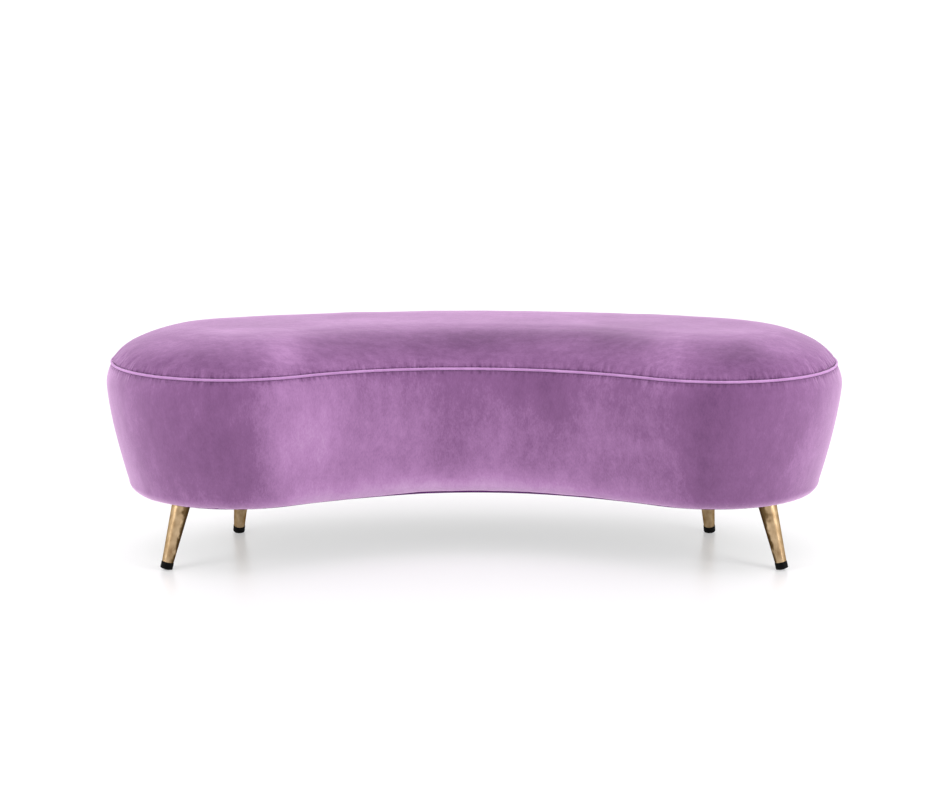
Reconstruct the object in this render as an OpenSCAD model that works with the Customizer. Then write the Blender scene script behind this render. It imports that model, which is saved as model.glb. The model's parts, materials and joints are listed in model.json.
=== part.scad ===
// Upholstered kidney-shaped sofa bench on four splayed, tapered metal legs.
// Millimetres. The origin is on the floor, under the middle of the bench; the front faces -Y.
// The plan is four tangent arcs: a hollow front, two round ends and a long round back. Every layer of the
// side and of the crown is a section of [inset from the seam, height] carried round those arcs.

/* [Overall size] */
// Width across the fullest line of the side
overall_w = 1500; // [1420:5:1640]
// Radius of each round end at the piped seam
end_r = 258; // [246:1:275]
// Reach of the back seam behind the line through the centres of the ends
back_reach = 352; // [335:1:390]
// Depth of the hollow in the front
waist_in = 143; // [110:1:160]
// Height of the piped seam above the floor
seam_h = 401.5; // [385:0.5:430]
// Height of the crown above the piped seam
crown_h = 66; // [55:1:80]
// Height of the hem above the floor
clear_h = 137; // [125:1:150]

/* [Shape of the padding] */
// Width over which the crown rises from the seam to its full height
crown_w = 162; // [150:1:170]
// Fullness of the crown: 2 is a quarter ellipse
crown_power = 1.8; // [1.6:0.05:2.4]
// How far the side stands out beyond the seam at its fullest line
bulge = 12.5; // [8:0.5:16]
// Drop from the seam to the fullest line of the side
bulge_drop = 42; // [34:1:48]
// Inset of the foot of the side from the seam
taper_in = 26; // [20:1:32]
// Bow of the side between its fullest line and its foot: 1 is straight
taper_power = 1.45; // [1.2:0.05:1.7]
// Height of the round fold at the foot of the side
fold_h = 21; // [18:1:24]
// Width of the round fold at the foot of the side
fold_w = 28; // [25:1:31]

/* [Cloth and padding] */
// Thickness of the velvet with its backing
velvet_t = 1.6; // [1:0.1:2]
// Width of the velvet turned under the base board
hem_w = 34; // [30:1:40]
// Thickness of the polyester wadding over the seat foam
wadding_t = 8; // [5:0.5:12]
// Least thickness of the foam on the side
side_foam_t = 12; // [9:0.5:14]
// Distance from the middle at which the strips of the side foam meet
foam_joint_x = 360; // [350:1:375]
// Thickness of the firm seat foam
firm_foam_t = 50; // [45:1:55]
// Radius of the piping in the seam
piping_r = 3; // [2.5:0.1:3.5]
// Radius of the cotton cord inside the piping
cord_r = 1.9; // [1.5:0.1:2.2]
// Width of the sewing allowance of the piping and of the base welt
allowance_w = 12; // [9:0.5:14]
// Thickness of the sewing allowance
allowance_t = 1; // [0.8:0.1:1.4]
// Radius of the narrow welt under the hem
welt_r = 2; // [1.6:0.1:2.4]
// Thickness of the felt that covers the webbing
felt_t = 1; // [0.8:0.1:2]
// Thickness of the dust cover under the bench
dust_t = 0.6; // [0.4:0.1:0.9]

/* [Timber frame] */
// Thickness of the base board
base_t = 18; // [15:1:21]
// Thickness of the top frame
top_t = 18; // [15:1:21]
// Width of the top frame
top_w = 92; // [88:1:100]
// Thickness of the bent plywood skin
skin_t = 4; // [3:0.5:5]
// Side of a square post
post_w = 45; // [38:1:48]
// Inset of the middle of a post from the seam
post_inset = 76; // [74:1:78]
// Distance of the outer front and back posts from the middle
post_x = 270; // [240:1:300]
// Thickness of a cross rail
rail_t = 20; // [16:1:24]
// Height of a cross rail
rail_h = 60; // [45:1:75]
// Height of a leg block
block_h = 40; // [34:1:50]
// Width of a leg block
block_w = 70; // [60:1:74]
// Length of a leg block, from its outer to its inner end
block_l = 84; // [76:1:90]

/* [Webbing] */
// Width of a strap
strap_w = 50; // [40:1:54]
// Thickness of a strap
strap_t = 2; // [1.5:0.1:2.5]
// Number of straps from front to back
cross_straps = 11; // [9:2:11]
// Number of straps from end to end
long_straps = 3; // [2:1:3]
// Length of the stapled end of a strap
strap_end = 30; // [24:1:34]

/* [Legs] */
// Angle of a leg from the vertical
leg_splay = 15.7; // [12:0.1:18]
// Direction of the splay of a front leg, forward from the sideways line
front_turn = 30; // [20:1:45]
// Direction of the splay of a rear leg, backward from the sideways line
rear_turn = 65; // [50:1:75]
// Inset of the top of a front leg from the seam
front_leg_inset = 76; // [74:1:84]
// Bearing of a front leg from the centre of its end, forward from the sideways line
front_bearing = 55; // [50:1:60]
// Inset of the top of a rear leg from the seam
rear_leg_inset = 165; // [140:1:175]
// Bearing of a rear leg from the centre of its end, backward from the sideways line
rear_bearing = 83; // [78:1:88]
// Diameter of a leg at its top
leg_top_d = 37.6; // [34:0.2:38]
// Diameter of a leg just above its rubber tip
leg_end_d = 23.4; // [21:0.2:26]
// Wall of the leg tube
leg_wall = 1.5; // [1.2:0.1:2]
// Diameter of a rubber tip
tip_d = 25; // [24:0.2:28]
// Height of a rubber tip
tip_h = 16; // [13:0.5:20]
// Radius of the domed underside of a rubber tip
tip_dome_r = 28; // [24:1:36]
// Height worn flat on the dome where it stands
tip_flat = 0.9; // [0.6:0.1:1.2]
// Diameter of the stud on top of a leg
stud_d = 8; // [6:1:8]

/* [Fasteners] */
// Diameter of a wood screw
screw_d = 5; // [4:0.5:5.5]
// Length of the screws that go through the boards into the posts
post_screw_l = 42; // [38:1:45]
// Length of the screws that go through the posts into the rails
rail_screw_l = 70; // [62:1:80]
// Width of a staple
staple_w = 10; // [8:0.5:12]
// Thickness of the staple wire
staple_t = 0.7; // [0.6:0.1:1]

/* [Hidden] */

// Clearances: between soft layers, round a fastener, and at the piping
gap = 0.3;
bore_gap = 0.2;
piping_gap = 0.2;
// Facets of turned parts and of small round parts
turned_fn = 64;
small_fn = 24;
// Steps along the hollow front and the back of the plan, and along three stretches of each round end:
// from the hollow to its foremost point, on to its outermost point, and from there to the back
front_steps = 12;
back_steps = 12;
nose_steps = 3;
side_turn_steps = 9;
tail_steps = 6;
around = front_steps + back_steps + 2 * (nose_steps + side_turn_steps + tail_steps);
// Steps along the crown, the straight of the side and the fold
crown_steps = 6;
side_steps = 3;
fold_steps = 3;

velvet = "#a26cab";
velvet_light = "#c79ad2";
brass = "#b4935f";
rubber = "#1b1b1d";
steel = "#9aa0a6";
beech = "#d9b382";
plywood = "#d3b07c";
foam_white = "#f3efe2";
foam_blue = "#bfd3df";
wadding_white = "#fbfaf6";
felt_grey = "#8d8d8a";
webbing_tan = "#b79a6c";
cotton = "#e7dfcc";
dust_black = "#232325";

// Plan: centres and radii of the four arcs, and the angles at which they meet
end_x = overall_w / 2 - end_r - bulge;
end_y = (end_r - back_reach) / 2;
waist_y = end_y - end_r + waist_in;
waist_rel = waist_y - end_y;
front_r = (end_x * end_x + waist_rel * waist_rel - end_r * end_r) / (2 * waist_in);
front_cy = waist_y - front_r;
back_r = (end_x * end_x + back_reach * back_reach - end_r * end_r) / (2 * (back_reach - end_r));
back_cy = end_y + back_reach - back_r;
front_half = atan2(end_x, end_y - front_cy);
back_half = atan2(end_x, end_y - back_cy);
end_start = atan2(front_cy - end_y, -end_x);
end_stop = atan2(end_y - back_cy, end_x);

// Heights, from the hem upwards
foot_z = clear_h + fold_h;
fold_in = taper_in + fold_w;
base_z = clear_h + velvet_t;
base_top = base_z + base_t;
firm_top = seam_h - allowance_t / 2 - gap;
firm_z = firm_top - firm_foam_t;
felt_z = firm_z - felt_t;
frame_top = felt_z - 2 * strap_t;
frame_z = frame_top - top_t;
post_h = frame_z - base_top;
dust_z = clear_h - allowance_t - dust_t;

// Skin: a straight taper inside the foam, from the top frame down past the top of the base board
skin_z = base_z + base_t / 3;
layer_in = velvet_t + 2 * gap + side_foam_t;
skin_top_in = side_in(frame_top) + layer_in;
skin_foot_in = side_in(foot_z) + layer_in;
skin_slope = (skin_foot_in - skin_top_in) / (frame_top - foot_z);
top_in = skin_in(frame_z) + skin_t + gap;
base_in = skin_in(skin_z) + skin_t + gap;
web_in = top_in + 24;

// Legs: where each one meets the base board, and the length of its axis from the floor
leg_run = dust_z * tan(leg_splay);
leg_len = dust_z / cos(leg_splay);
dome_l = (tip_dome_r - tip_flat) / cos(leg_splay);
plug_l = 14;
disc_t = 4;
stud_l = base_top + 12 - dust_z + disc_t;
tee_r = 5;
tee_flange_r = 11;
tee_flange_t = 1.5;
block_out = 24;
screw_head = screw_d * 0.95;
head_h = 3;
staple_leg = 9;

function front_y(x, inset) = abs(x) < (front_r + inset) * sin(front_half)
    ? front_cy + sqrt(pow(front_r + inset, 2) - x * x)
    : end_y - sqrt(pow(end_r - inset, 2) - pow(abs(x) - end_x, 2));
function back_y(x, inset) = abs(x) < (back_r - inset) * sin(back_half)
    ? back_cy + sqrt(pow(back_r - inset, 2) - x * x)
    : end_y + sqrt(pow(end_r - inset, 2) - pow(abs(x) - end_x, 2));

// Outline of the plan at an inset from the seam, run round counterclockwise
function arc(cx, cy, r, from, to, steps) = [
    for (i = [0:steps - 1]) let (a = from + (to - from) * i / steps) [cx + r * cos(a), cy + r * sin(a)]];
function outline(inset) = concat(
    arc(0, front_cy, front_r + inset, 90 + front_half, 90 - front_half, front_steps),
    arc(end_x, end_y, end_r - inset, end_start, -90, nose_steps),
    arc(end_x, end_y, end_r - inset, -90, 0, side_turn_steps),
    arc(end_x, end_y, end_r - inset, 0, end_stop, tail_steps),
    arc(0, back_cy, back_r - inset, 90 - back_half, 90 + back_half, back_steps),
    arc(-end_x, end_y, end_r - inset, 180 - end_stop, 180, tail_steps),
    arc(-end_x, end_y, end_r - inset, 180, 270, side_turn_steps),
    arc(-end_x, end_y, end_r - inset, 270, 180 - end_start, nose_steps));

// Evenly spaced stations on the outline: [x, y, heading]
function stations(inset, front_n, end_n, back_n) = concat(
    station_arc(0, front_cy, front_r + inset, 90 + front_half, 90 - front_half, front_n),
    station_arc(end_x, end_y, end_r - inset, end_start, end_stop, end_n),
    station_arc(0, back_cy, back_r - inset, 90 - back_half, 90 + back_half, back_n),
    station_arc(-end_x, end_y, end_r - inset, 180 - end_stop, 180 - end_start, end_n));
function station_arc(cx, cy, r, from, to, n) = [
    for (i = [0:n - 1]) let (a = from + (to - from) * (i + 0.5) / n)
        [cx + r * cos(a), cy + r * sin(a), a + 90]];

// Sections in [inset, height]. The side bulges below the seam, then tapers in to its foot.
function side_in(z) = let (drop = seam_h - z) drop < bulge_drop
    ? -bulge * sin(90 * drop / bulge_drop)
    : -bulge + (taper_in + bulge) * pow((drop - bulge_drop) / (seam_h - foot_z - bulge_drop), taper_power);
side_zs = concat([seam_h, seam_h - 0.4 * bulge_drop],
    [for (i = [0:side_steps]) seam_h - bulge_drop - (seam_h - bulge_drop - foot_z) * i / side_steps]);
function side_at(z, depth) = lookup(z, [for (step_z = side_zs) [step_z, side_in(step_z) + depth]]);
function side_path(depth, from) = concat([[side_at(from, depth), from]],
    [for (z = side_zs) if (z < from) [side_in(z) + depth, z]]);
function fold_path(depth) = [for (i = [1:fold_steps]) let (a = 90 * i / fold_steps)
    [fold_in - (fold_w - depth) * cos(a), foot_z - (fold_h - depth) * sin(a)]];
function crown_path(depth, from) = let (
        rise = (from - seam_h) / (crown_h - depth),
        first = asin(pow(rise, crown_power / 2)))
    [for (i = [0:crown_steps]) let (a = first + (90 - first) * i / crown_steps)
        [crown_w - (crown_w - depth) * pow(max(cos(a), 0), 2 / crown_power),
         seam_h + (crown_h - depth) * pow(sin(a), 2 / crown_power)]];
function skin_in(z) = skin_top_in + (frame_top - z) * skin_slope;
function back_to_front(list) = [for (i = [len(list) - 1:-1:0]) list[i]];

// A path of [inset, height] points carried round the plan: each of its points becomes a ring
function ring_points(path) = [for (p = path) for (q = outline(p.x)) [q.x, q.y, p.y]];
function ring_faces(lower, upper) = [
    for (i = [0:around - 1]) let (j = (i + 1) % around, a = lower * around, b = upper * around)
        each [[a + i, b + i, b + j], [a + i, b + j, a + j]]];

// Closed band round the plan, with a section that runs clockwise in [inset, height]
module loop(section) {
    count = len(section);
    polyhedron(ring_points(section), [for (k = [0:count - 1]) each ring_faces(k, (k + 1) % count)]);
}

// Triangles across a ring, between its front and its back, each numbered from left to right
front_run = front_steps + 2 * (nose_steps + side_turn_steps);
back_run = around - front_run;
leftmost = around - nose_steps - side_turn_steps;
function front_point(i) = (leftmost + i) % around;
function back_point(j) = leftmost - j;
function facing(i) = i < 0 ? 0 : i < front_run ? floor((i + 0.5) * back_run / front_run) : back_run;
function ladder(i) = concat(
    i < front_run ? [[front_point(i), back_point(facing(i)), front_point(i + 1)]] : [],
    [for (j = facing(i - 1); j < facing(i); j = j + 1) [back_point(j), back_point(j + 1), front_point(i)]]);
function across() = [for (i = [0:front_run]) for (t = ladder(i)) if (t[0] != t[1] && t[1] != t[2]) t];

// Solid with flat ends on its first and last rings, where the path runs from the lower end to the upper one
module stack(path) {
    last = len(path) - 1;
    polyhedron(ring_points(path), concat([for (t = across()) back_to_front(t)],
        [for (k = [0:last - 1]) each ring_faces(k, k + 1)],
        [for (t = across()) [for (v = t) v + last * around]]));
}

module plate(inset, z, thickness) {
    translate([0, 0, z]) linear_extrude(thickness) polygon(outline(inset));
}

// Places of the legs: [sign of x, is front]
LEGS = [[-1, true], [1, true], [-1, false], [1, false]];
function leg_bearing(leg) = leg[1] ? -front_bearing : rear_bearing;
function leg_turn(leg) = leg[1] ? -front_turn : rear_turn;
function stud_at(leg) = let (r = end_r - (leg[1] ? front_leg_inset : rear_leg_inset))
    [leg[0] * (end_x + r * cos(leg_bearing(leg))), end_y + r * sin(leg_bearing(leg)), 0];
function foot_at(leg) = stud_at(leg) + leg_run * [leg[0] * cos(leg_turn(leg)), sin(leg_turn(leg)), 0];

// Turns the children from an upright leg on the origin into a splayed one on its foot
module splayed(leg) {
    translate(foot_at(leg)) rotate(leg[0] > 0 ? leg_turn(leg) : 180 - leg_turn(leg))
        rotate([0, -leg_splay, 0]) children();
}

module below(z) {
    translate([-overall_w, -overall_w, z - overall_w]) cube([2 * overall_w, 2 * overall_w, overall_w]);
}

function leg_r(l) = (leg_end_d + (leg_top_d - leg_end_d) * (l - tip_h) / (leg_len - tip_h)) / 2;

// Tapered tube, mitred at its top to sit flat under the bench
module leg(place) {
    over = leg_len + leg_top_d;
    color(brass) intersection() {
        splayed(place) rotate_extrude($fn = turned_fn) polygon([
            [leg_r(tip_h) - leg_wall, tip_h], [leg_r(tip_h), tip_h],
            [leg_r(over), over], [leg_r(over) - leg_wall, over]]);
        below(dust_z);
    }
}

// Rubber tip with a domed underside, worn flat on the floor, and a plug that fills the end of the tube
module tip(place) {
    edge = 2;
    rim_z = dome_l - sqrt(pow(tip_dome_r, 2) - pow(tip_d / 2 - edge, 2));
    dome = [for (i = [0:6]) let (a = asin((tip_d / 2 - edge) / tip_dome_r) * i / 6)
        [tip_dome_r * sin(a), dome_l - tip_dome_r * cos(a)]];
    plug_r = leg_r(tip_h) - leg_wall - bore_gap;
    color(rubber) difference() {
        splayed(place) rotate_extrude($fn = turned_fn) polygon(concat(dome,
            [[tip_d / 2 - edge * 0.4, rim_z + edge * 0.3], [tip_d / 2, rim_z + edge], [tip_d / 2, tip_h - 1],
             [tip_d / 2 - 1, tip_h], [plug_r, tip_h], [plug_r, tip_h + plug_l], [0, tip_h + plug_l]]));
        below(0);
    }
}

// Disc that closes the mitred top of a leg and carries its stud
module leg_disc(place) {
    over = leg_len + leg_top_d;
    under = leg_len - leg_top_d;
    inner = leg_wall + bore_gap;
    intersection() {
        splayed(place) rotate_extrude($fn = turned_fn) polygon([
            [0, under], [leg_r(under) - inner, under], [leg_r(over) - inner, over], [0, over]]);
        difference() {
            below(dust_z);
            below(dust_z - disc_t);
            translate(stud_at(place) + [0, 0, dust_z - 2 * disc_t])
                cylinder(d = stud_d, h = 3 * disc_t, $fn = small_fn);
        }
    }
}

module leg_discs() color(steel) for (place = LEGS) leg_disc(place);

module leg_studs() color(steel) for (place = LEGS)
    translate(stud_at(place) + [0, 0, dust_z - disc_t]) cylinder(d = stud_d, h = stud_l, $fn = small_fn);

// Way through the cloth and the timber for the stud of each leg
module stud_holes(d) for (place = LEGS)
    translate(stud_at(place)) cylinder(d = d, h = base_top + block_h, $fn = small_fn);

module tee_nut(place) {
    barrel_l = base_t / 2;
    translate(stud_at(place) + [0, 0, base_top]) difference() {
        union() {
            cylinder(r = tee_flange_r, h = tee_flange_t, $fn = small_fn);
            translate([0, 0, -barrel_l]) cylinder(r = tee_r, h = barrel_l + tee_flange_t / 2, $fn = small_fn);
        }
        translate([0, 0, -base_t]) cylinder(d = stud_d + 2 * bore_gap, h = 2 * base_t, $fn = small_fn);
    }
}

module tee_nuts() color(steel) for (place = LEGS) tee_nut(place);

// Leg block, square to the bearing of its leg: the far screw is nearer to the middle of the bench
function block_turn(place) = place[0] > 0 ? leg_bearing(place) : 180 - leg_bearing(place);
module on_block(place) translate(stud_at(place) + [0, 0, base_top]) rotate(block_turn(place)) children();
block_screw_x = [8, block_out - block_l + 14];

module block(place) color(beech) difference() {
    on_block(place) translate([block_out - block_l, -block_w / 2, 0]) cube([block_l, block_w, block_h]);
    on_block(place) {
        translate([0, 0, -1]) cylinder(d = stud_d + 1, h = block_h + 2, $fn = small_fn);
        translate([0, 0, bore_gap - 1])
            cylinder(r = tee_flange_r + bore_gap, h = tee_flange_t + 1, $fn = small_fn);
    }
    block_screw_holes();
}

// Countersunk wood screw, pointing up from its head at the origin
module screw(length, grow = 0) rotate_extrude($fn = small_fn) polygon([
    [0, -grow], [screw_head + grow, -grow], [screw_head + grow, grow], [screw_d / 2 + grow, head_h + grow],
    [screw_d / 2 + grow, length - screw_d], [0.4 + grow, length + grow], [0, length + grow]]);

block_screw_l = base_t + block_h * 0.7;
module at_block_screws() for (place = LEGS) for (x = block_screw_x) for (y = [-1, 1])
    translate([0, 0, -base_t]) on_block(place) translate([x, y * block_w / 4, 0]) children();
module block_screws() color(steel) at_block_screws() screw(block_screw_l);
module block_screw_holes() at_block_screws() screw(block_screw_l, bore_gap);

// Base board, rebated round its lower edge so that the velvet turns under it in a soft fold
module base_board() color(plywood) difference() {
    union() {
        plate(fold_in, base_z, base_t);
        plate(base_in, skin_z, base_top - skin_z);
    }
    stud_holes(2 * (tee_r + bore_gap));
    block_screw_holes();
    at_post_screws() screw(post_screw_l, bore_gap);
    at_hem_staples() staple_slot();
    at_dust_staples() staple_slot();
}

// Posts: three along the front, three along the back and three round each end
nose_bearing = -100;
end_bearing = -5;
tail_bearing = 42;
post_ring_r = end_r - post_inset;
function end_post(side, bearing) = [
    side * (end_x + post_ring_r * cos(bearing)), end_y + post_ring_r * sin(bearing)];
RAIL_X = [-post_x, 0, post_x];
POSTS = concat([for (x = RAIL_X) [x, front_y(x, post_inset)]], [for (x = RAIL_X) [x, back_y(x, post_inset)]],
    [for (side = [-1, 1]) for (b = [nose_bearing, end_bearing, tail_bearing]) end_post(side, b)]);

module at_post_screws() for (p = POSTS) {
    translate([p.x, p.y, base_z]) children();
    translate([p.x, p.y, frame_top]) mirror([0, 0, 1]) children();
}

module post(p) color(beech) difference() {
    translate([p.x - post_w / 2, p.y - post_w / 2, base_top]) cube([post_w, post_w, post_h]);
    at_post_screws() screw(post_screw_l, bore_gap);
    at_rail_screws() screw(rail_screw_l, bore_gap);
}

module post_screws() color(steel) at_post_screws() screw(post_screw_l);

// Cross rails, between a front and a back post, tight under the top frame
rail_z = frame_z - rail_h;
rail_screw_z = rail_z + rail_h / 3;
module rail(x) {
    from = front_y(x, post_inset) + post_w / 2;
    to = back_y(x, post_inset) - post_w / 2;
    color(beech) difference() {
        translate([x - rail_t / 2, from, rail_z]) cube([rail_t, to - from, rail_h]);
        at_rail_screws() screw(rail_screw_l, bore_gap);
    }
}

module at_rail_screws() for (x = RAIL_X) {
    translate([x, front_y(x, post_inset) - post_w / 2, rail_screw_z]) rotate([-90, 0, 0]) children();
    translate([x, back_y(x, post_inset) + post_w / 2, rail_screw_z]) rotate([90, 0, 0]) children();
}

module rail_screws() color(steel) at_rail_screws() screw(rail_screw_l);

module top_frame() color(plywood) difference() {
    translate([0, 0, frame_z]) linear_extrude(top_t) difference() {
        polygon(outline(top_in));
        polygon(outline(top_in + top_w));
    }
    at_post_screws() screw(post_screw_l, bore_gap);
    at_web_staples() staple_slot();
}

module side_skin() color(plywood) loop([
    [skin_in(frame_top), frame_top], [skin_in(frame_top) + skin_t, frame_top],
    [skin_in(skin_z) + skin_t, skin_z], [skin_in(skin_z), skin_z]]);

// Webbing: straps from end to end lie on the frame, and straps from front to back lie over them
strap_pitch = 2 * (end_x + end_r / 3.7) / (cross_straps - 1);
function cross_x(i) = (i - (cross_straps - 1) / 2) * strap_pitch;
long_pitch = 70;
function long_y(i) = end_y + i * long_pitch;
function cross_from(x) = let (outer = abs(x) + strap_w / 2, inner = max(abs(x) - strap_w / 2, 0))
    max(front_y(outer, web_in), front_y(inner, web_in));
function cross_to(x) = min(back_y(abs(x) + strap_w / 2, web_in), back_y(x, web_in));
function long_reach(y) = end_x + sqrt(pow(end_r - web_in, 2) - pow(abs(y - end_y) + strap_w / 2, 2));

module cross_webbing() color(webbing_tan) difference() {
    for (i = [0:cross_straps - 1]) let (x = cross_x(i), from = cross_from(x), to = cross_to(x)) {
        translate([x - strap_w / 2, from, frame_top + strap_t]) cube([strap_w, to - from, strap_t]);
        for (y = [from, to - strap_end])
            translate([x - strap_w / 2, y, frame_top]) cube([strap_w, strap_end, 1.5 * strap_t]);
    }
    at_web_staples() staple_slot();
}

module long_webbing() color(webbing_tan) difference() {
    for (i = [0:long_straps - 1]) let (y = long_y(i), reach = long_reach(y))
        translate([-reach, y - strap_w / 2, frame_top]) cube([2 * reach, strap_w, strap_t - gap / 3]);
    at_web_staples() staple_slot();
}

// One staple in each end of each strap
module at_web_staples() {
    for (i = [0:cross_straps - 1]) let (x = cross_x(i))
        for (y = [cross_from(x) + strap_end / 2, cross_to(x) - strap_end / 2])
            translate([x, y, frame_top + 2 * strap_t - staple_t]) mirror([0, 0, 1]) children();
    for (i = [0:long_straps - 1]) let (y = long_y(i)) for (side = [-1, 1])
        translate([side * (long_reach(y) - strap_end / 2), y, frame_top + strap_t - staple_t])
            rotate(90) mirror([0, 0, 1]) children();
}

// Staple with its crown below the origin and its two legs pointing up
module staple() {
    translate([-staple_w / 2, -staple_t / 2, -staple_t]) cube([staple_w, staple_t, staple_t]);
    for (side = [-1, 1])
        translate([side * (staple_w - staple_t) / 2 - staple_t / 2, -staple_t / 2, -staple_t])
            cube([staple_t, staple_t, staple_leg]);
}
module staple_slot() translate([-staple_w / 2 - gap, -staple_t / 2 - gap, -staple_t - 1])
    cube([staple_w + 2 * gap, staple_t + 2 * gap, staple_leg + 1 + gap]);

module webbing_staples() color(steel) at_web_staples() staple();

module felt() color(felt_grey) plate(top_in, felt_z, felt_t);

// Seat: a firm slab as deep as the bulge of the side, and a crowned soft block with wadding over it
piping_in = -0.5;
piping_room = piping_r + gap;
module firm_foam() {
    depth = velvet_t + gap;
    side = [for (p = side_path(depth, seam_h - piping_room)) if (p.y > firm_z) p];
    color(foam_blue) stack(concat([[side_at(firm_z, depth), firm_z]], back_to_front(side),
        [for (z = [seam_h - piping_room, firm_top]) [piping_in + piping_room, z]]));
}

module soft_foam() {
    depth = velvet_t + wadding_t + 2 * gap;
    ledge_in = allowance_w + 6;
    ledge_z = seam_h + allowance_t / 2 + gap;
    color(foam_white) stack(concat([[ledge_in, firm_top], [ledge_in, ledge_z]], crown_path(depth, ledge_z)));
}

// Shell under the crown, from its inner face to its outer one
module crown_shell(outer, inner, from) {
    stack(concat(back_to_front(crown_path(inner, from)), crown_path(outer, from)));
}

module wadding() color(wadding_white)
    crown_shell(velvet_t + gap, velvet_t + gap + wadding_t, seam_h + piping_room);

module seat_cover() color(velvet) crown_shell(0, velvet_t, seam_h + piping_r + piping_gap);

// Piping: a velvet sleeve round a cotton cord, with an allowance sewn in between the seat and the side
cord_sides = 6;
sleeve_sides = 8;
function bead(cx, cz, r, from, to, steps) = [for (i = [0:steps]) let (a = from + (to - from) * i / steps)
    [cx + r * cos(a), cz + r * sin(a)]];
module cord(r) loop(bead(piping_in, seam_h, r, 360 - 180 / cord_sides, 180 / cord_sides, cord_sides - 1));

module piping() {
    half = allowance_t / 2;
    meet = asin(half / piping_r);
    color(velvet_light) difference() {
        loop(concat(bead(piping_in, seam_h, piping_r, 360 - meet, meet, sleeve_sides),
            [for (side = [1, -1]) [piping_in + allowance_w, seam_h + side * half]]));
        cord(cord_r + bore_gap / 2);
    }
}

module piping_cord() color(cotton) cord(cord_r);

module side_foam_ring() {
    depth = velvet_t + gap;
    loop(back_to_front(concat(side_path(depth, firm_z - gap), fold_path(depth), [
        [fold_in - gap, skin_z - gap],
        [skin_in(skin_z) - gap, skin_z - gap],
        [skin_in(frame_top) - gap, frame_top],
        [skin_in(frame_top) - gap, firm_z - gap]])));
}

// Strip of the side foam between two corners of the plan, cut square where it meets its neighbours
module side_foam(low, high) color(foam_white) intersection() {
    side_foam_ring();
    translate(low) cube([high.x - low.x, high.y - low.y, seam_h]);
}

module side_band() {
    from = seam_h - piping_r - piping_gap;
    hem_in = fold_in + hem_w;
    color(velvet) difference() {
        loop(back_to_front(concat(side_path(0, from), fold_path(0), [[hem_in, clear_h], [hem_in, base_z]],
            back_to_front(fold_path(velvet_t)), back_to_front(side_path(velvet_t, from)))));
        stud_holes(stud_d + 2 * gap);
        at_hem_staples() staple_slot();
        at_dust_staples() staple_slot();
    }
}

welt_sides = 6;
module base_welt() {
    welt_in = fold_in - welt_r;
    meet = asin((welt_r - allowance_t) / welt_r);
    color(velvet) difference() {
        loop(concat(bead(welt_in, clear_h - welt_r, welt_r, 360 + meet, 90, welt_sides),
            [for (z = [clear_h, clear_h - allowance_t]) [welt_in + allowance_w + welt_r, z]]));
        at_hem_staples() staple_slot();
    }
}

// Staples through the allowance of the base welt, except where a leg stands over them
hem_staple_in = fold_in + allowance_w / 3;
function clear_of_legs(p, room) = min([for (place = LEGS) norm([p.x, p.y, 0] - stud_at(place))]) > room;
module at_hem_staples() for (p = stations(hem_staple_in, 8, 9, 10))
    if (clear_of_legs(p, leg_top_d / 2 + staple_w))
        translate([p.x, p.y, clear_h - allowance_t]) rotate(p[2]) children();
module hem_staples() color(steel) at_hem_staples() staple();

dust_in = fold_in + allowance_w / 2;
dust_staple_in = fold_in + allowance_w + 8;
module dust_cover() color(dust_black) difference() {
    plate(dust_in, dust_z, dust_t);
    stud_holes(stud_d + 2 * gap);
    at_dust_staples() staple_slot();
}

module at_dust_staples() for (p = stations(dust_staple_in, 6, 8, 8))
    if (clear_of_legs(p, leg_top_d / 2 + staple_w))
        translate([p.x, p.y, dust_z]) rotate(p[2]) children();
module dust_staples() color(steel) at_dust_staples() staple();

leg(LEGS[0]);  // leg_front_left
leg(LEGS[1]);  // leg_front_right
leg(LEGS[2]);  // leg_rear_left
leg(LEGS[3]);  // leg_rear_right
tip(LEGS[0]);  // tip_front_left
tip(LEGS[1]);  // tip_front_right
tip(LEGS[2]);  // tip_rear_left
tip(LEGS[3]);  // tip_rear_right
leg_discs();
leg_studs();
tee_nuts();
block(LEGS[0]);  // block_front_left
block(LEGS[1]);  // block_front_right
block(LEGS[2]);  // block_rear_left
block(LEGS[3]);  // block_rear_right
block_screws();
base_board();
post(POSTS[0]);  // post_front_left
post(POSTS[1]);  // post_front_center
post(POSTS[2]);  // post_front_right
post(POSTS[3]);  // post_back_left
post(POSTS[4]);  // post_back_center
post(POSTS[5]);  // post_back_right
post(POSTS[6]);  // post_nose_left
post(POSTS[7]);  // post_end_left
post(POSTS[8]);  // post_tail_left
post(POSTS[9]);  // post_nose_right
post(POSTS[10]);  // post_end_right
post(POSTS[11]);  // post_tail_right
post_screws();
rail(RAIL_X[0]);  // rail_left
rail(RAIL_X[1]);  // rail_center
rail(RAIL_X[2]);  // rail_right
rail_screws();
top_frame();
side_skin();
cross_webbing();
long_webbing();
webbing_staples();
felt();
firm_foam();
soft_foam();
wadding();
seat_cover();
piping();
piping_cord();
side_foam([-foam_joint_x, -overall_w], [foam_joint_x, end_y]);  // side_foam_front
side_foam([-foam_joint_x, end_y], [foam_joint_x, overall_w]);  // side_foam_back
side_foam([-overall_w, -overall_w], [-foam_joint_x, overall_w]);  // side_foam_left
side_foam([foam_joint_x, -overall_w], [overall_w, overall_w]);  // side_foam_right
side_band();
base_welt();
hem_staples();
dust_cover();
dust_staples();
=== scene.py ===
"""Looks of a kidney-shaped velvet sofa bench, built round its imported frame.

Lengths are in metres. The bench stands on the floor at z = 0, its hollow front faces -Y and its
middle is at x = 0. The plan is four tangent arcs. An inset is a distance inwards from the piped
seam, and a run is a distance along it.
"""

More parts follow.
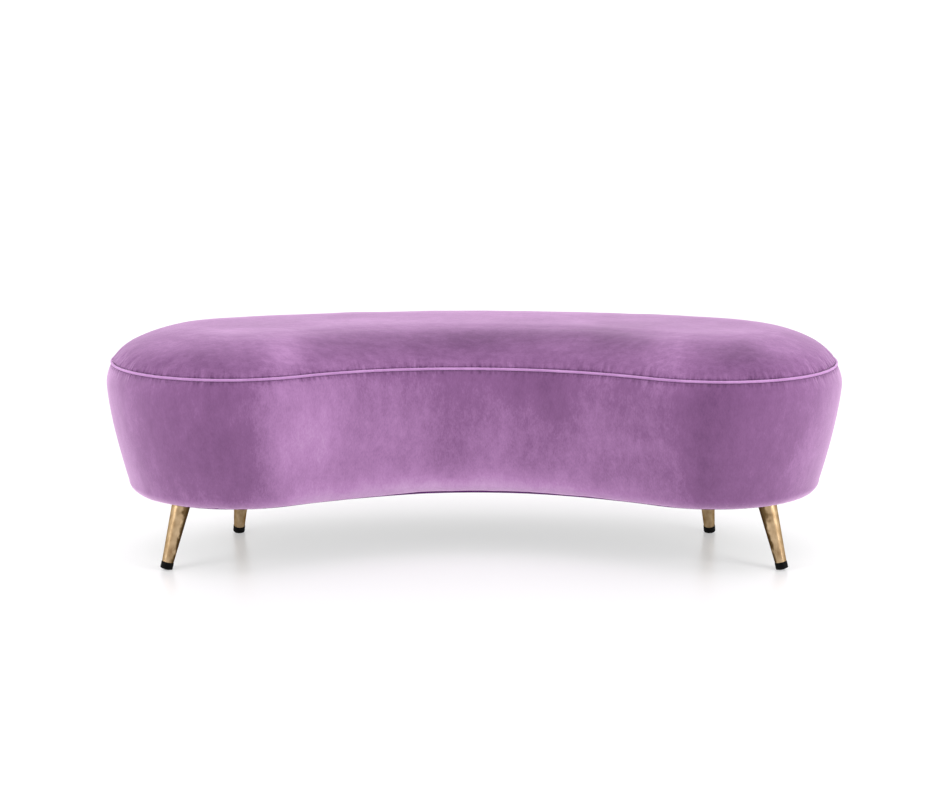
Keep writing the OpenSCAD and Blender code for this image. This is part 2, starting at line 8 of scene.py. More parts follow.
import sys
import json
import logging
import math
import random
from contextlib import contextmanager
from dataclasses import dataclass
from enum import Enum
from functools import cached_property
from typing import Callable, Iterator, Mapping, Sequence

import bmesh
import bpy
import numpy as np
from mathutils import Matrix, Vector, noise


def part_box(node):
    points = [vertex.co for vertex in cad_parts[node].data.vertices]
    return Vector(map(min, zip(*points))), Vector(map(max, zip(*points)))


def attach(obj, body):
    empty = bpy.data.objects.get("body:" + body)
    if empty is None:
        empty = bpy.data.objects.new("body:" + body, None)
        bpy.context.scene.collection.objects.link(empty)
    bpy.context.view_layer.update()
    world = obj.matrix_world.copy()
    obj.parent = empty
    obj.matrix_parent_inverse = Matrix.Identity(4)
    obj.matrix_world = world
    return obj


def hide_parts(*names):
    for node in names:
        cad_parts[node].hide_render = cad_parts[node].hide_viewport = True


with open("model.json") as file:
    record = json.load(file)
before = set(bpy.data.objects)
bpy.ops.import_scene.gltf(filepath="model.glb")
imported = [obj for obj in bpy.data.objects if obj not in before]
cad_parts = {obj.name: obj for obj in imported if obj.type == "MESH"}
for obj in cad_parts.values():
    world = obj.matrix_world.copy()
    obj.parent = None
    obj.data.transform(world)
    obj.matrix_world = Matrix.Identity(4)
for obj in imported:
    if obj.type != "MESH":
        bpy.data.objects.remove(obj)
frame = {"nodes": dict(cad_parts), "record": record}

log = logging.getLogger("sofa_bench")
BODY = "root"
MM = 0.001
WELD = 0.01 * MM
RIGHT_ANGLE = math.pi / 2
Point = tuple[float, float]
Place = tuple[float, float, float]
Colour = tuple[float, float, float]
Mesh = bmesh.types.BMesh
Piece = bpy.types.Object
Socket = bpy.types.NodeSocket
Value = Socket | float | Sequence[float]
Inputs = dict[str, Value]
Found = tuple[np.ndarray, np.ndarray, np.ndarray]


class Side(Enum):
    """Left or right half of the bench, as seen from the front."""

    LEFT = -1
    RIGHT = 1


@dataclass(frozen=True)
class Arc:
    """One arc of the plan.

    Args:
        centre: Its centre in plan.
        radius: Its radius at the piped seam.
        start: The angle at which it starts, in radians.
        sweep: The angle that it runs through, negative where it runs clockwise.
    """

    centre: Point
    radius: float
    start: float
    sweep: float

    @property
    def length(self) -> float:
        """Length of the seam along this arc."""
        return abs(self.sweep) * self.radius

    def places(self, section: np.ndarray, count: int) -> np.ndarray:
        """Carry a section along the arc.

        Args:
            section: Points of inset and height, one a row.
            count: Number of steps along the arc; the last ring is left to the next arc.

        Returns:
            Places in space by step, point and axis.
        """
        turns = self.start + self.sweep * np.arange(count) / count
        r = self.radius + math.copysign(1, -self.sweep) * section[:, 0]
        x = self.centre[0] + np.outer(np.cos(turns), r)
        y = self.centre[1] + np.outer(np.sin(turns), r)
        return np.stack([x, y, np.broadcast_to(section[:, 1], x.shape)], axis=2)


@dataclass(frozen=True)
class KidneyPlan:
    """Plan of the bench at its seam: a hollow front, two round ends and a long round back."""

    half_w: float = 737.5 * MM
    end_r: float = 258 * MM
    back_reach: float = 352 * MM
    waist_in: float = 143 * MM

    @cached_property
    def end_x(self) -> float:
        """Distance of an end's centre from the middle."""
        return self.half_w - self.end_r

    @cached_property
    def end_y(self) -> float:
        """Place of the ends' centres from front to back."""
        return (self.end_r - self.back_reach) / 2

    @cached_property
    def front_r(self) -> float:
        """Radius of the hollow front."""
        waist_rel = self.waist_in - self.end_r
        return (self.end_x**2 + waist_rel**2 - self.end_r**2) / (2 * self.waist_in)

    @cached_property
    def front_y(self) -> float:
        """Centre of the hollow front's arc."""
        return self.end_y - self.end_r + self.waist_in - self.front_r

    @cached_property
    def back_r(self) -> float:
        """Radius of the back."""
        squares = self.end_x**2 + self.back_reach**2 - self.end_r**2
        return squares / (2 * (self.back_reach - self.end_r))

    @cached_property
    def back_y(self) -> float:
        """Centre of the back's arc."""
        return self.end_y + self.back_reach - self.back_r

    @cached_property
    def front_half(self) -> float:
        """Half of the angle of the hollow front."""
        return math.atan2(self.end_x, self.end_y - self.front_y)

    @cached_property
    def back_half(self) -> float:
        """Half of the angle of the back."""
        return math.atan2(self.end_x, self.end_y - self.back_y)

    @cached_property
    def arcs(self) -> tuple[Arc, ...]:
        """Hollow, right nose, right tail, back, left tail and left nose.

        A nose and a tail meet at the outermost point of an end.
        """
        nose = RIGHT_ANGLE + self.front_half
        tail = RIGHT_ANGLE - self.back_half
        right, left = (self.end_x, self.end_y), (-self.end_x, self.end_y)
        return (
            Arc((0, self.front_y), self.front_r, nose, -2 * self.front_half),
            Arc(right, self.end_r, -nose, nose),
            Arc(right, self.end_r, 0, tail),
            Arc((0, self.back_y), self.back_r, tail, 2 * self.back_half),
            Arc(left, self.end_r, math.pi - tail, tail),
            Arc(left, self.end_r, math.pi, nose),
        )

    @cached_property
    def length(self) -> float:
        """Length of the whole seam."""
        return sum(arc.length for arc in self.arcs)

    @cached_property
    def back_run(self) -> float:
        """Run of the middle of the back, where the covers are joined."""
        return sum(arc.length for arc in self.arcs[:3]) + self.arcs[3].length / 2

    def steps(self, spacing: float) -> tuple[int, ...]:
        """Steps along each arc, as many along the front as along the back between the ends.

        Args:
            spacing: The spacing to come close to, at the seam.

        Returns:
            The number of steps by arc.
        """
        hollow = 2 * round(self.arcs[0].length / spacing / 2)
        nose, tail = (max(2, round(arc.length / spacing)) for arc in self.arcs[1:3])
        return hollow, nose, tail, hollow + 2 * (nose - tail), tail, nose

    def rings(self, section: Sequence[Point], spacing: float) -> np.ndarray:
        """Carry a section round the plan.

        Args:
            section: Points of inset and height.
            spacing: Spacing of the rings along the seam.

        Returns:
            Places in space by ring, point and axis, with the first ring again at the end.
        """
        rows = np.array(section)
        pairs = zip(self.arcs, self.steps(spacing))
        carried = [arc.places(rows, count) for arc, count in pairs]
        return np.concatenate([*carried, carried[0][:1]])

    def rungs(self, point: Point, spacing: float, cuts: int) -> np.ndarray:
        """Places of level rungs from the front of a ring to its back.

        Args:
            point: Inset and height of the ring.
            spacing: Spacing of the rings along the seam, as in the strip that they close.
            cuts: Cuts across each rung.

        Returns:
            Places in space by rung, point and axis.
        """
        hollow, nose = self.steps(spacing)[:2]
        ring = self.rings([point], spacing)[:-1, 0]
        right, span = hollow + nose, hollow + 2 * nose
        front = np.roll(ring, nose, axis=0)[:span + 1]
        rear = ring[right:right + span + 1][::-1]
        share = np.linspace(0, 1, cuts + 2)[None, :, None]
        return front[:, None] * (1 - share) + rear[:, None] * share

    def loft(self, name: str, section: Sequence[Point], spacing: float, closed: bool = False,
             levels: Sequence[Point] = (), cuts: int = 0) -> Piece:
        """Make a piece of a section that is bent round the plan.

        Args:
            name: The piece's name.
            section: Points of inset and height.
            spacing: Spacing of the rings along the seam.
            closed: Whether the section's last point joins its first.
            levels: Points of the section whose rings are filled with rungs.
            cuts: Cuts across each rung.

        Returns:
            The piece.
        """
        bm = bmesh.new()
        bend_grid(bm, self.rings([*section, section[0]] if closed else section, spacing))
        for point in levels:
            bend_grid(bm, self.rungs(point, spacing, cuts))
        return new_piece(name, bm)

    def locate(self, coords: np.ndarray) -> tuple[np.ndarray, np.ndarray]:
        """Find the insets of points from the seam and their runs along it.

        Args:
            coords: The points, one a row.

        Returns:
            Their insets and their runs.
        """
        x, y = coords[:, 0], coords[:, 1]
        front_turn = np.arctan2(x, y - self.front_y)
        back_turn = np.arctan2(x, y - self.back_y)
        end_turn = np.arctan2(y - self.end_y, np.abs(x) - self.end_x)
        end_in = self.end_r - np.hypot(np.abs(x) - self.end_x, y - self.end_y)
        by_front = np.abs(front_turn) <= self.front_half
        by_back = np.abs(back_turn) <= self.back_half
        front_in = np.where(by_front, np.hypot(x, y - self.front_y) - self.front_r, end_in)
        back_in = np.where(by_back, self.back_r - np.hypot(x, y - self.back_y), end_in)
        hollow = self.arcs[0].length
        along_end = self.end_r * (end_turn + RIGHT_ANGLE + self.front_half)
        run = np.where(x > 0, hollow + along_end, self.length - along_end)
        by_front &= front_in <= back_in
        by_back &= front_in > back_in
        run = np.where(by_front, self.front_r * (front_turn + self.front_half), run)
        run = np.where(by_back, self.back_run - self.back_r * back_turn, run)
        return np.minimum(front_in, back_in), run

    def roundness(self, run: np.ndarray) -> np.ndarray:
        """How much the cloth is eased: 1 on the ends, less on the back, least in the hollow.

        Args:
            run: Runs along the seam.

        Returns:
            The share at each run.
        """
        hollow, nose, tail = (arc.length for arc in self.arcs[:3])
        end = hollow + nose
        marks = [0, hollow / 2, hollow, hollow + nose * 0.25, end + tail * 0.8,
                 end + tail * 1.5, self.back_run]
        mirrored = np.where(run > self.back_run, hollow - run + self.length, run)
        return np.interp(mirrored, marks, [0.5, 0.12, 0.5, 1, 1, 0.55, 0.4])


@dataclass(frozen=True)
class BenchSection:
    """Section of the upholstery: the crown above the piped seam and the side below it."""

    seam_z: float = 401.5 * MM
    crown_h: float = 66 * MM
    crown_w: float = 162 * MM
    crown_power: float = 1.8
    bulge: float = 12.5 * MM
    bulge_drop: float = 42 * MM
    taper_in: float = 26 * MM
    taper_power: float = 1.45
    clear_z: float = 137 * MM
    fold_h: float = 21 * MM
    fold_w: float = 28 * MM
    hem_w: float = 34 * MM
    velvet_t: float = 1.6 * MM

    @property
    def foot_z(self) -> float:
        """Height at which the side turns into its round foot."""
        return self.clear_z + self.fold_h

    @property
    def fold_in(self) -> float:
        """Inset of the lower end of the round foot."""
        return self.taper_in + self.fold_w

    def side_inset(self, z: float) -> float:
        """Inset of the side at a height between its foot and the seam.

        Args:
            z: The height.

        Returns:
            The inset, negative outside the seam.
        """
        drop = self.seam_z - z
        if drop < self.bulge_drop:
            return -self.bulge * math.sin(RIGHT_ANGLE * drop / self.bulge_drop)
        share = (drop - self.bulge_drop) / (self.seam_z - self.foot_z - self.bulge_drop)
        return -self.bulge + (self.taper_in + self.bulge) * share**self.taper_power

    def crown(self, depth: float, rise: float, count: int) -> list[Point]:
        """Points of a layer under the crown, from near the seam up to the level middle.

        Args:
            depth: Depth of the layer under the velvet's face.
            rise: Height above the seam at which it starts.
            count: Number of steps.

        Returns:
            Points of inset and height.
        """
        height = self.crown_h - depth
        first = math.asin((rise / height) ** (self.crown_power / 2))
        points = []
        for i in range(count + 1):
            turn = first + (RIGHT_ANGLE - first) * i / count
            out = max(math.cos(turn), 0) ** (2 / self.crown_power)
            up = math.sin(turn) ** (2 / self.crown_power)
            inset = self.crown_w - (self.crown_w - depth) * out
            points.append((inset, self.seam_z + height * up))
        return points

    def side(self, depth: float, drop: float, count: int) -> list[Point]:
        """Points of a layer of the side, from near the seam down to the foot.

        Args:
            depth: Depth of the layer under the velvet's face.
            drop: Drop below the seam at which it starts.
            count: Number of steps.

        Returns:
            Points of inset and height.
        """
        top = self.seam_z - drop
        heights = [top + (self.foot_z - top) * i / count for i in range(count + 1)]
        return [(self.side_inset(z) + depth, z) for z in heights]

    def fold(self, depth: float, count: int) -> list[Point]:
        """Points of a layer of the round foot, from its upper end down, without the first.

        Args:
            depth: Depth of the layer under the velvet's face.
            count: Number of steps.

        Returns:
            Points of inset and height.
        """
        turns = [RIGHT_ANGLE * i / count for i in range(1, count + 1)]
        return [(self.fold_in - (self.fold_w - depth) * math.cos(turn),
                 self.foot_z - (self.fold_h - depth) * math.sin(turn)) for turn in turns]


@dataclass(frozen=True)
class SeamWarp:
    """Slight drift of the hand-sewn seam: true on the front's left, a little low on its right.

    Args:
        drop: Mean drop of the front's seam.
        swing: How much less it drops on the left, and more on the right.
        middle: Where across the bench the drop changes.
        ease: Half width of that change.
        back_share: Share of the drift at the back.
        turn: Depth over which the front's drift fades into the back's.
        waver: Height of its small waves.
        waver_scale: Their number to a metre, times two pi.
        reach: How far above and below the seam the cloth follows it.
    """

    drop: float = 2.4 * MM
    swing: float = 1.9 * MM
    middle: float = -100 * MM
    ease: float = 130 * MM
    back_share: float = 0.3
    turn: float = 120 * MM
    waver: float = 0.35 * MM
    waver_scale: float = 9.0
    reach: float = 55 * MM

    def lift(self, coords: np.ndarray, seam_z: float) -> np.ndarray:
        """Lift of each point, full at the seam and fading away from it.

        Args:
            coords: Points, one a row.
            seam_z: Height of the seam.

        Returns:
            How far each point is lifted.
        """
        x, y, z = coords.T
        share = (1 + self.back_share - (1 - self.back_share) * np.tanh(y / self.turn)) / 2
        drift = -share * (self.drop + self.swing * np.tanh((x - self.middle) / self.ease))
        waves = np.sin(self.waver_scale * x + 1) * np.sin(self.waver_scale * 0.7 * y + 2)
        drift += self.waver * waves
        return drift * np.exp(-((z - seam_z) / self.reach) ** 2)


@dataclass(frozen=True)
class Puckers:
    """Creases that gathered velvet makes square to a seam.

    Args:
        spacing: Usual distance between two creases.
        depth: Depth of a usual crease.
        width: Half width of a usual crease.
        reach: Length of a usual crease.
        seed: Seed of the random draws.
    """

    spacing: float
    depth: float
    width: float
    reach: float
    seed: int

    def depths(self, plan: KidneyPlan, run: np.ndarray, away: np.ndarray) -> np.ndarray:
        """Depth of the creases at points of the cloth.

        Args:
            plan: The plan.
            run: Their runs along the seam.
            away: Their distances from the seam along the cloth.

        Returns:
            How far each point lies under the smooth cloth; a little above it beside a crease.
        """
        draws = random.Random(self.seed)
        depth = np.zeros_like(run)
        place = 0.0
        while place < plan.length:
            ease = float(plan.roundness(np.array([place]))[0])
            size = draws.uniform(0.25, 1.0) ** 1.6 * ease
            width = self.width * draws.uniform(0.6, 1.5)
            reach = self.reach * draws.uniform(0.45, 1.35) * (0.5 + 0.5 * ease)
            slant = draws.uniform(-0.35, 0.35)
            beside = run - place - slant * away
            beside = (beside + plan.length / 2) % plan.length - plan.length / 2
            spread = width * (1 + 0.8 * away / reach)
            near = (np.abs(beside) < 4 * spread) & (away < reach)
            fade = np.clip(1 - away[near] / reach, 0, 1) ** 1.5
            across = (beside[near] / spread[near]) ** 2
            trough = 1.25 * np.exp(-across) - 0.25 * np.exp(-across / 5)
            depth[near] += self.depth * size * fade * trough
            place += self.spacing * draws.uniform(0.35, 1.7)
        return depth


def bend_grid(bm: Mesh, places: np.ndarray) -> None:
    """Add a flat grid and bend it.

    Args:
        bm: The mesh to add to.
        places: Where each of its points goes, by column, row and axis.
    """
    columns, rows = places.shape[:2]
    grid = bmesh.ops.create_grid(bm, x_segments=columns - 1, y_segments=rows - 1, size=1)
    for vert in grid["verts"]:
        column = round((vert.co.x + 1) / 2 * (columns - 1))
        row = round((vert.co.y + 1) / 2 * (rows - 1))
        vert.co = places[column, row]


def round_points(centre: Point, r: float, start: float, end: float, steps: int) -> list[Point]:
    """Points of a round part of a section with both of its ends, by angles in degrees."""
    turns = np.radians(np.linspace(start, end, steps + 1)).tolist()
    return [(centre[0] + r * math.cos(turn), centre[1] + r * math.sin(turn)) for turn in turns]


def new_piece(name: str, bm: Mesh, smooth: bool = True) -> Piece:
    """Make an object of a finished mesh and link it to the scene.

    Args:
        name: The piece's name.
        bm: Its mesh, which is freed.
        smooth: Whether its faces shade smoothly.

    Returns:
        The object.
    """
    mesh = bpy.data.meshes.new(name)
    bmesh.ops.remove_doubles(bm, verts=bm.verts, dist=WELD)
    bmesh.ops.recalc_face_normals(bm, faces=bm.faces)
    bm.to_mesh(mesh)
    bm.free()
    mesh.polygons.foreach_set("use_smooth", [smooth] * len(mesh.polygons))
    piece = bpy.data.objects.new(name, mesh)
    bpy.context.scene.collection.objects.link(piece)
    return piece


@contextmanager
def reworked(piece: Piece) -> Iterator[Mesh]:
    """Open a piece's mesh for changes and write them back.

    Args:
        piece: The piece.

    Yields:
        Its mesh.
    """
    bm = bmesh.new()
    bm.from_mesh(piece.data)
    yield bm
    bm.to_mesh(piece.data)
    bm.free()


def coords_of(piece: Piece) -> np.ndarray:
    """Places of a piece's vertices, one a row."""
    return read_all(piece.data.vertices, "co", float, 3)


def read_all(items: bpy.types.bpy_prop_collection, key: str, kind: type, width: int = 1
             ) -> np.ndarray:
    """Read one property of all of a mesh's items.

    Args:
        items: The items.
        key: The property.
        kind: The type of its numbers.
        width: How many numbers an item has.

    Returns:
        An item a row, or one flat array for single numbers.
    """
    flat = np.zeros(len(items) * width, dtype=kind)
    items.foreach_get(key, flat)
    return flat.reshape(-1, width) if width > 1 else flat


def set_coords(piece: Piece, coords: np.ndarray) -> None:
    """Move a piece's vertices to new places, one a row."""
    piece.data.vertices.foreach_set("co", coords.ravel())
    piece.data.update()


def push(piece: Piece, outwards: np.ndarray | float = 0.0, up: np.ndarray | float = 0.0) -> None:
    """Move a piece's vertices.

    Args:
        piece: The piece.
        outwards: How far each moves along its normal.
        up: How far each moves straight up.
    """
    normals = read_all(piece.data.vertex_normals, "vector", np.float32, 3).astype(float)
    coords = coords_of(piece) + normals * np.reshape(outwards, (-1, 1))
    coords[:, 2] += up
    set_coords(piece, coords)


def map_cloth(piece: Piece, run: np.ndarray, away: np.ndarray, length: float) -> None:
    """Map a velvet piece by its run along the seam and its distance from it.

    Args:
        piece: The piece.
        run: Run of each vertex, from the place where the cloth is joined.
        away: Distance of each vertex from the seam.
        length: Length of the whole seam.
    """
    mesh = piece.data
    corners = read_all(mesh.loops, "vertex_index", int)
    starts = read_all(mesh.polygons, "loop_start", int)
    first = np.repeat(run[corners[starts]], read_all(mesh.polygons, "loop_total", int))
    along = run[corners]
    along -= np.round((along - first) / length) * length
    cloth_map = mesh.uv_layers.new(name="cloth")
    cloth_map.uv.foreach_set("vector", np.stack([along, away[corners]], axis=1).ravel())


def face_outwards(piece: Piece, outwards: Callable[[Vector], Vector]) -> None:
    """Turn an open sheet's faces to its outer side.

    Args:
        piece: The sheet.
        outwards: A direction that points outwards at a place.
    """
    faces = piece.data.polygons
    if sum(face.normal.dot(outwards(face.center)) * face.area for face in faces) < 0:
        piece.data.flip_normals()


def rough(coords: np.ndarray, scale: Place, seed: float) -> np.ndarray:
    """Smooth noise from -1 to 1 at points, by its waves a metre along each axis."""
    shifted = coords * np.array(scale) + seed
    return np.array([noise.fractal(p, 0.8, 2.1, 2) for p in map(Vector, shifted.tolist())])


def add_sheet_thickness(piece: Piece, thickness: float) -> None:
    """Give a sheet of cloth its thickness, inwards from its face.

    Args:
        piece: The sheet.
        thickness: Its thickness.
    """
    solid = piece.modifiers.new("Cloth thickness", "SOLIDIFY")
    solid.thickness = thickness
    solid.offset = -1
    solid.use_rim = True


class NodeGraph:
    """Node tree, with short calls for the nodes that the finishes share.

    Args:
        tree: The tree.
    """

    def __init__(self, tree: bpy.types.NodeTree) -> None:
        """Start with a tree."""
        self.tree = tree

    def fill(self, node: bpy.types.Node, inputs: Mapping[str | int, Value]) -> None:
        """Link or set a node's inputs.

        Args:
            node: The node.
            inputs: Sockets to link and numbers to set, by the input's name or place.
        """
        for key, value in inputs.items():
            if isinstance(value, Socket):
                self.tree.links.new(value, node.inputs[key])
            else:
                node.inputs[key].default_value = value

    def add(self, kind: str, output: str | int, inputs: Mapping[str | int, Value],
            **options: str) -> Socket:
        """Add a node.

        Args:
            kind: Its kind.
            output: The output that is wanted, by name or place.
            inputs: Its inputs, as for fill.
            **options: Its other settings.

        Returns:
            That output.
        """
        node = self.tree.nodes.new(f"ShaderNode{kind}")
        for key, value in options.items():
            setattr(node, key, value)
        self.fill(node, inputs)
        return node.outputs[output]

    def place(self, scale: Place = (1, 1, 1), by_map: bool = False) -> Socket:
        """Scaled coordinates for a pattern, by place in space or by the piece's UV map."""
        source = self.add("TexCoord", "UV" if by_map else "Object", {})
        return self.add("Mapping", "Vector", {"Vector": source, "Scale": scale})

    def on_map(self, axis: str) -> Socket:
        """Place along one axis of the piece's UV map."""
        return self.add("SeparateXYZ", axis, {0: self.place(by_map=True)})

    def noise(self, vector: Socket, scale: float, detail: float = 2, roughness: float = 0.5,
              distortion: float = 0) -> Socket:
        """Noise from 0 to 1."""
        return self.add("TexNoise", "Fac", {
            "Vector": vector, "Scale": scale, "Detail": detail, "Roughness": roughness,
            "Distortion": distortion})

    def cells(self, vector: Socket, scale: float) -> Socket:
        """Distance to the nearest of scattered points."""
        return self.add("TexVoronoi", "Distance", {"Vector": vector, "Scale": scale})

    def waves(self, vector: Socket, scale: float, distortion: float, detail: float = 2,
              direction: str = "X") -> Socket:
        """Bands along an axis."""
        return self.add("TexWave", "Fac", {
            "Vector": vector, "Scale": scale, "Distortion": distortion, "Detail": detail},
            bands_direction=direction)

    def maths(self, operation: str, *values: Socket | float) -> Socket:
        """Join numbers by an operation."""
        return self.add("Math", "Value", dict(enumerate(values)), operation=operation)

    def total(self, *terms: tuple[Socket, float], plus: float = 0) -> Socket:
        """Sum of numbers, each times its weight.

        Args:
            *terms: Numbers and weights.
            plus: What the sum starts with.

        Returns:
            The sum.
        """
        total = plus
        for value, weight in terms:
            total = self.maths("MULTIPLY_ADD", value, weight, total)
        return total

    def level(self, value: Socket, low: float, high: float, to_low: float = 0,
              to_high: float = 1) -> Socket:
        """Stretch a range of values smoothly to another."""
        return self.add("MapRange", "Result", {
            "Value": value, "From Min": low, "From Max": high, "To Min": to_low,
            "To Max": to_high}, interpolation_type="SMOOTHSTEP")

    def tones(self, value: Socket, *stops: tuple[float, Colour]) -> Socket:
        """Colour by value.

        Args:
            value: A number from 0 to 1.
            *stops: Places and colours.

        Returns:
            The colour.
        """
        node = self.tree.nodes.new("ShaderNodeValToRGB")
        ramp = node.color_ramp
        while len(ramp.elements) < len(stops):
            ramp.elements.new(0.5)
        for element, (position, colour) in zip(ramp.elements, stops):
            element.position = position
            element.color = (*colour, 1)
        self.fill(node, {"Fac": value})
        return node.outputs["Color"]

    def blend(self, share: Socket | float, first: Socket, second: Socket, mode: str = "MIX"
              ) -> Socket:
        """Mix two colours."""
        inputs = {"Factor": share, 6: first, 7: second}
        return self.add("Mix", 2, inputs, data_type="RGBA", blend_type=mode)

    def relief(self, *layers: tuple[Socket, float]) -> Socket:
        """Normal of bumps that lie on each other.

        Args:
            *layers: Heights from 0 to 1 with their real depths, the broadest first.

        Returns:
            The normal.
        """
        below: dict[str, Value] = {}
        for height, depth in layers:
            inputs = {"Strength": 1, "Distance": depth, "Height": height, **below}
            below = {"Normal": self.add("Bump", "Normal", inputs)}
        return below["Normal"]


@dataclass(frozen=True)
class Finish:
    """Material of one kind of surface.

    Args:
        name: The material's name.
    """

    name: str

    def draw(self, graph: NodeGraph) -> Inputs:
        """The shader's inputs, named with underscores for spaces."""
        raise NotImplementedError

    def make(self) -> bpy.types.Material:
        """Build the material.

        Returns:
            The material.
        """
        material = bpy.data.materials.new(self.name)
        material.use_nodes = True
        graph = NodeGraph(material.node_tree)
        graph.tree.nodes.clear()
        shader = graph.tree.nodes.new("ShaderNodeBsdfPrincipled")
        output = graph.tree.nodes.new("ShaderNodeOutputMaterial")
        drawn = self.draw(graph)
        graph.fill(shader, {key.replace("_", " "): value for key, value in drawn.items()})
        graph.fill(output, {"Surface": shader.outputs["BSDF"]})
        return material


@dataclass(frozen=True)
class VelvetFinish(Finish):
    """Pile velvet: cloudy patches of nap, an upright grain, gathers at the seam and a sheen, with
    painted light and shade in its colour.

    Args:
        tones: Colours from the darkest nap to the lightest.
        stretch: Scale of the nap's clouds along each axis.
        sheen: Weight of the sheen.
        sheen_roughness: Its roughness.
        sheen_tint: Its tint.
        gathers: Depth of the fine gathers next to the seam.
        gather_reach: How far they reach from the seam.
        mottle_h: Height of the mottle's relief.
        mottling: Its share of the colour.
        grain_stretch: Scale of the fine grain along each axis.
        mapped: Whether the piece has a cloth map for the gathers and a painted nap of crushed
            patches and painted light and shade.
    """

    tones: tuple[Colour, Colour, Colour]
    stretch: Place
    sheen: float = 1.0
    sheen_roughness: float = 0.4
    sheen_tint: Colour = (1.0, 0.68, 1.0)
    gathers: float = 4.5 * MM
    gather_reach: float = 36 * MM
    mottle_h: float = 0.25 * MM
    mottling: float = 0.3
    grain_stretch: Place = (1, 1, 1)
    mapped: bool = True

    def draw(self, graph: NodeGraph) -> Inputs:
        """Lay the clouds, mottle and grain of the nap, the sheet's painted light and shade and the
        gathers over each other.

        Args:
            graph: The finish's nodes.

        Returns:
            The shader's inputs.
        """
        spread = graph.place(self.stretch)
        clouds = graph.noise(spread, 6, distortion=0.4)
        mottle = graph.noise(spread, 48, detail=4, roughness=0.7, distortion=0.2)
        grain = graph.noise(graph.place(self.grain_stretch), 420, detail=3, roughness=0.7)
        pile = graph.noise(graph.place(), 1500, roughness=0.7)
        terms = [(clouds, 0.4), (mottle, self.mottling)]
        layers = [(mottle, self.mottle_h)]
        if self.mapped:
            # Painted light and shade of the gathers: lighter on their ridges, darker in their
            # troughs, with painted shadow dashes at the seam.
            folds, shadow = self.gather(graph)
            # The sheet's painted nap: crushed patches together with painted light and shade.
            stroked_light_and_shade = graph.add("Attribute", "Fac", {}, attribute_name="nap")
            terms += [(stroked_light_and_shade, 0.13), (folds, 0.8), (shadow, -0.26)]
            layers.append((folds, self.gathers))
        lay = graph.total(*terms, plus=0.3 - self.mottling / 2)
        shade = graph.total((lay, 0.84), (grain, 0.23), plus=-0.15 * 0.23)
        dark, mid, light = self.tones
        deep, pale = tuple(0.45 * c for c in dark), tuple(c + 0.15 for c in light)
        stops = (0.08, deep), (0.28, dark), (0.5, mid), (0.76, light), (1, pale)
        return dict(
            Base_Color=graph.tones(shade, *stops), Roughness=graph.level(lay, 0.3, 0.7, 0.9, 0.72),
            Normal=graph.relief(*layers, (grain, 0.15 * MM), (pile, 0.04 * MM)),
            Specular_IOR_Level=0.2, Sheen_Weight=self.sheen,
            Sheen_Roughness=self.sheen_roughness, Sheen_Tint=(*self.sheen_tint, 1))

    def gather(self, graph: NodeGraph) -> tuple[Socket, Socket]:
        """Fine gathers square to the seam, in clusters, fading away from it.

        Args:
            graph: The finish's nodes.

        Returns:
            Their height above and below the cloth, and the depth of the shadows at the seam.
        """
        away = graph.on_map("Y")
        folds = graph.noise(graph.place((105, 11, 1), by_map=True), 1, detail=3, roughness=0.6,
                            distortion=0.4)
        clusters = graph.noise(graph.place((11, 0.1, 1), by_map=True), 1)
        short = graph.noise(graph.place((120, 22, 1), by_map=True), 1, detail=3, roughness=0.7)
        strength = graph.maths("MULTIPLY", graph.level(away, 0, self.gather_reach, 1, 0),
                               graph.level(clusters, 0.4, 0.62, 0.3, 1))
        shadow = graph.maths("MULTIPLY", graph.level(away, 3 * MM, 13 * MM, 1, 0),
                             graph.level(short, 0.42, 0.68))
        height = graph.maths("MULTIPLY", graph.maths("SUBTRACT", folds, 0.5), strength)
        return height, shadow


@dataclass(frozen=True)
class BrushedBrassFinish(Finish):
    """Satin brass, brushed round the leg, with a painted dark reflection on its inner side and
    plain brass tones outside.
    """

    name: str = "satin_brass"
    base: Colour = (0.33, 0.215, 0.11)
    worn: Colour = (0.56, 0.41, 0.245)
    dark_reflection: Colour = (0.11, 0.068, 0.028)
    edge_tint: Colour = (0.3, 0.22, 0.12)
    roughness: float = 0.33

    def draw(self, graph: NodeGraph) -> Inputs:
        """Fade from the painted dark reflection to the brighter side along a brushed edge.

        Args:
            graph: The finish's nodes.

        Returns:
            The shader's inputs.
        """
        rings = graph.noise(graph.place((2, 260, 1), by_map=True), 1, roughness=0.6)
        waves = graph.noise(graph.place((3, 30, 1), by_map=True), 1, detail=1)
        streaks = graph.noise(graph.place((6, 40, 1), by_map=True), 1)
        marks = graph.noise(graph.place(), 38, detail=3, roughness=0.6)
        # Painted dark reflection on the leg's inner side, wider towards the top, with a ragged
        # edge.
        round_leg = graph.maths("ABSOLUTE", graph.on_map("X"))
        edge = graph.total((round_leg, -1), (graph.on_map("Y"), -0.55), (streaks, 0.4), plus=-0.2)
        dim_reflection = tuple(0.45 * c for c in self.base)
        painted_reflection = graph.tones(streaks, (0.35, self.dark_reflection), (0.75, dim_reflection))
        bright_side = graph.tones(streaks, (0.32, self.base), (0.66, self.worn))
        low, high = self.roughness - 0.015, self.roughness + 0.015
        return dict(
            Base_Color=graph.blend(graph.level(edge, -0.36, -0.27), painted_reflection, bright_side),
            Roughness=graph.maths("ADD", graph.level(rings, 0.3, 0.7, low, high),
                                  graph.level(marks, 0.4, 0.8, 0, 0.06)),
            Normal=graph.relief((waves, 0.25 * MM)), Metallic=1.0, Anisotropic=0.3,
            Specular_Tint=(*self.edge_tint, 1))


@dataclass(frozen=True)
class TwoToneFinish(Finish):
    """Finish between two tones.

    Args:
        light: Its light tone.
        dark: Its dark tone.
    """

    light: Colour
    dark: Colour

    def between(self, graph: NodeGraph, value: Socket, low: float, high: float) -> Socket:
        """Colour from the dark tone, where a value is low, to the light one."""
        return graph.tones(value, (low, self.dark), (high, self.light))


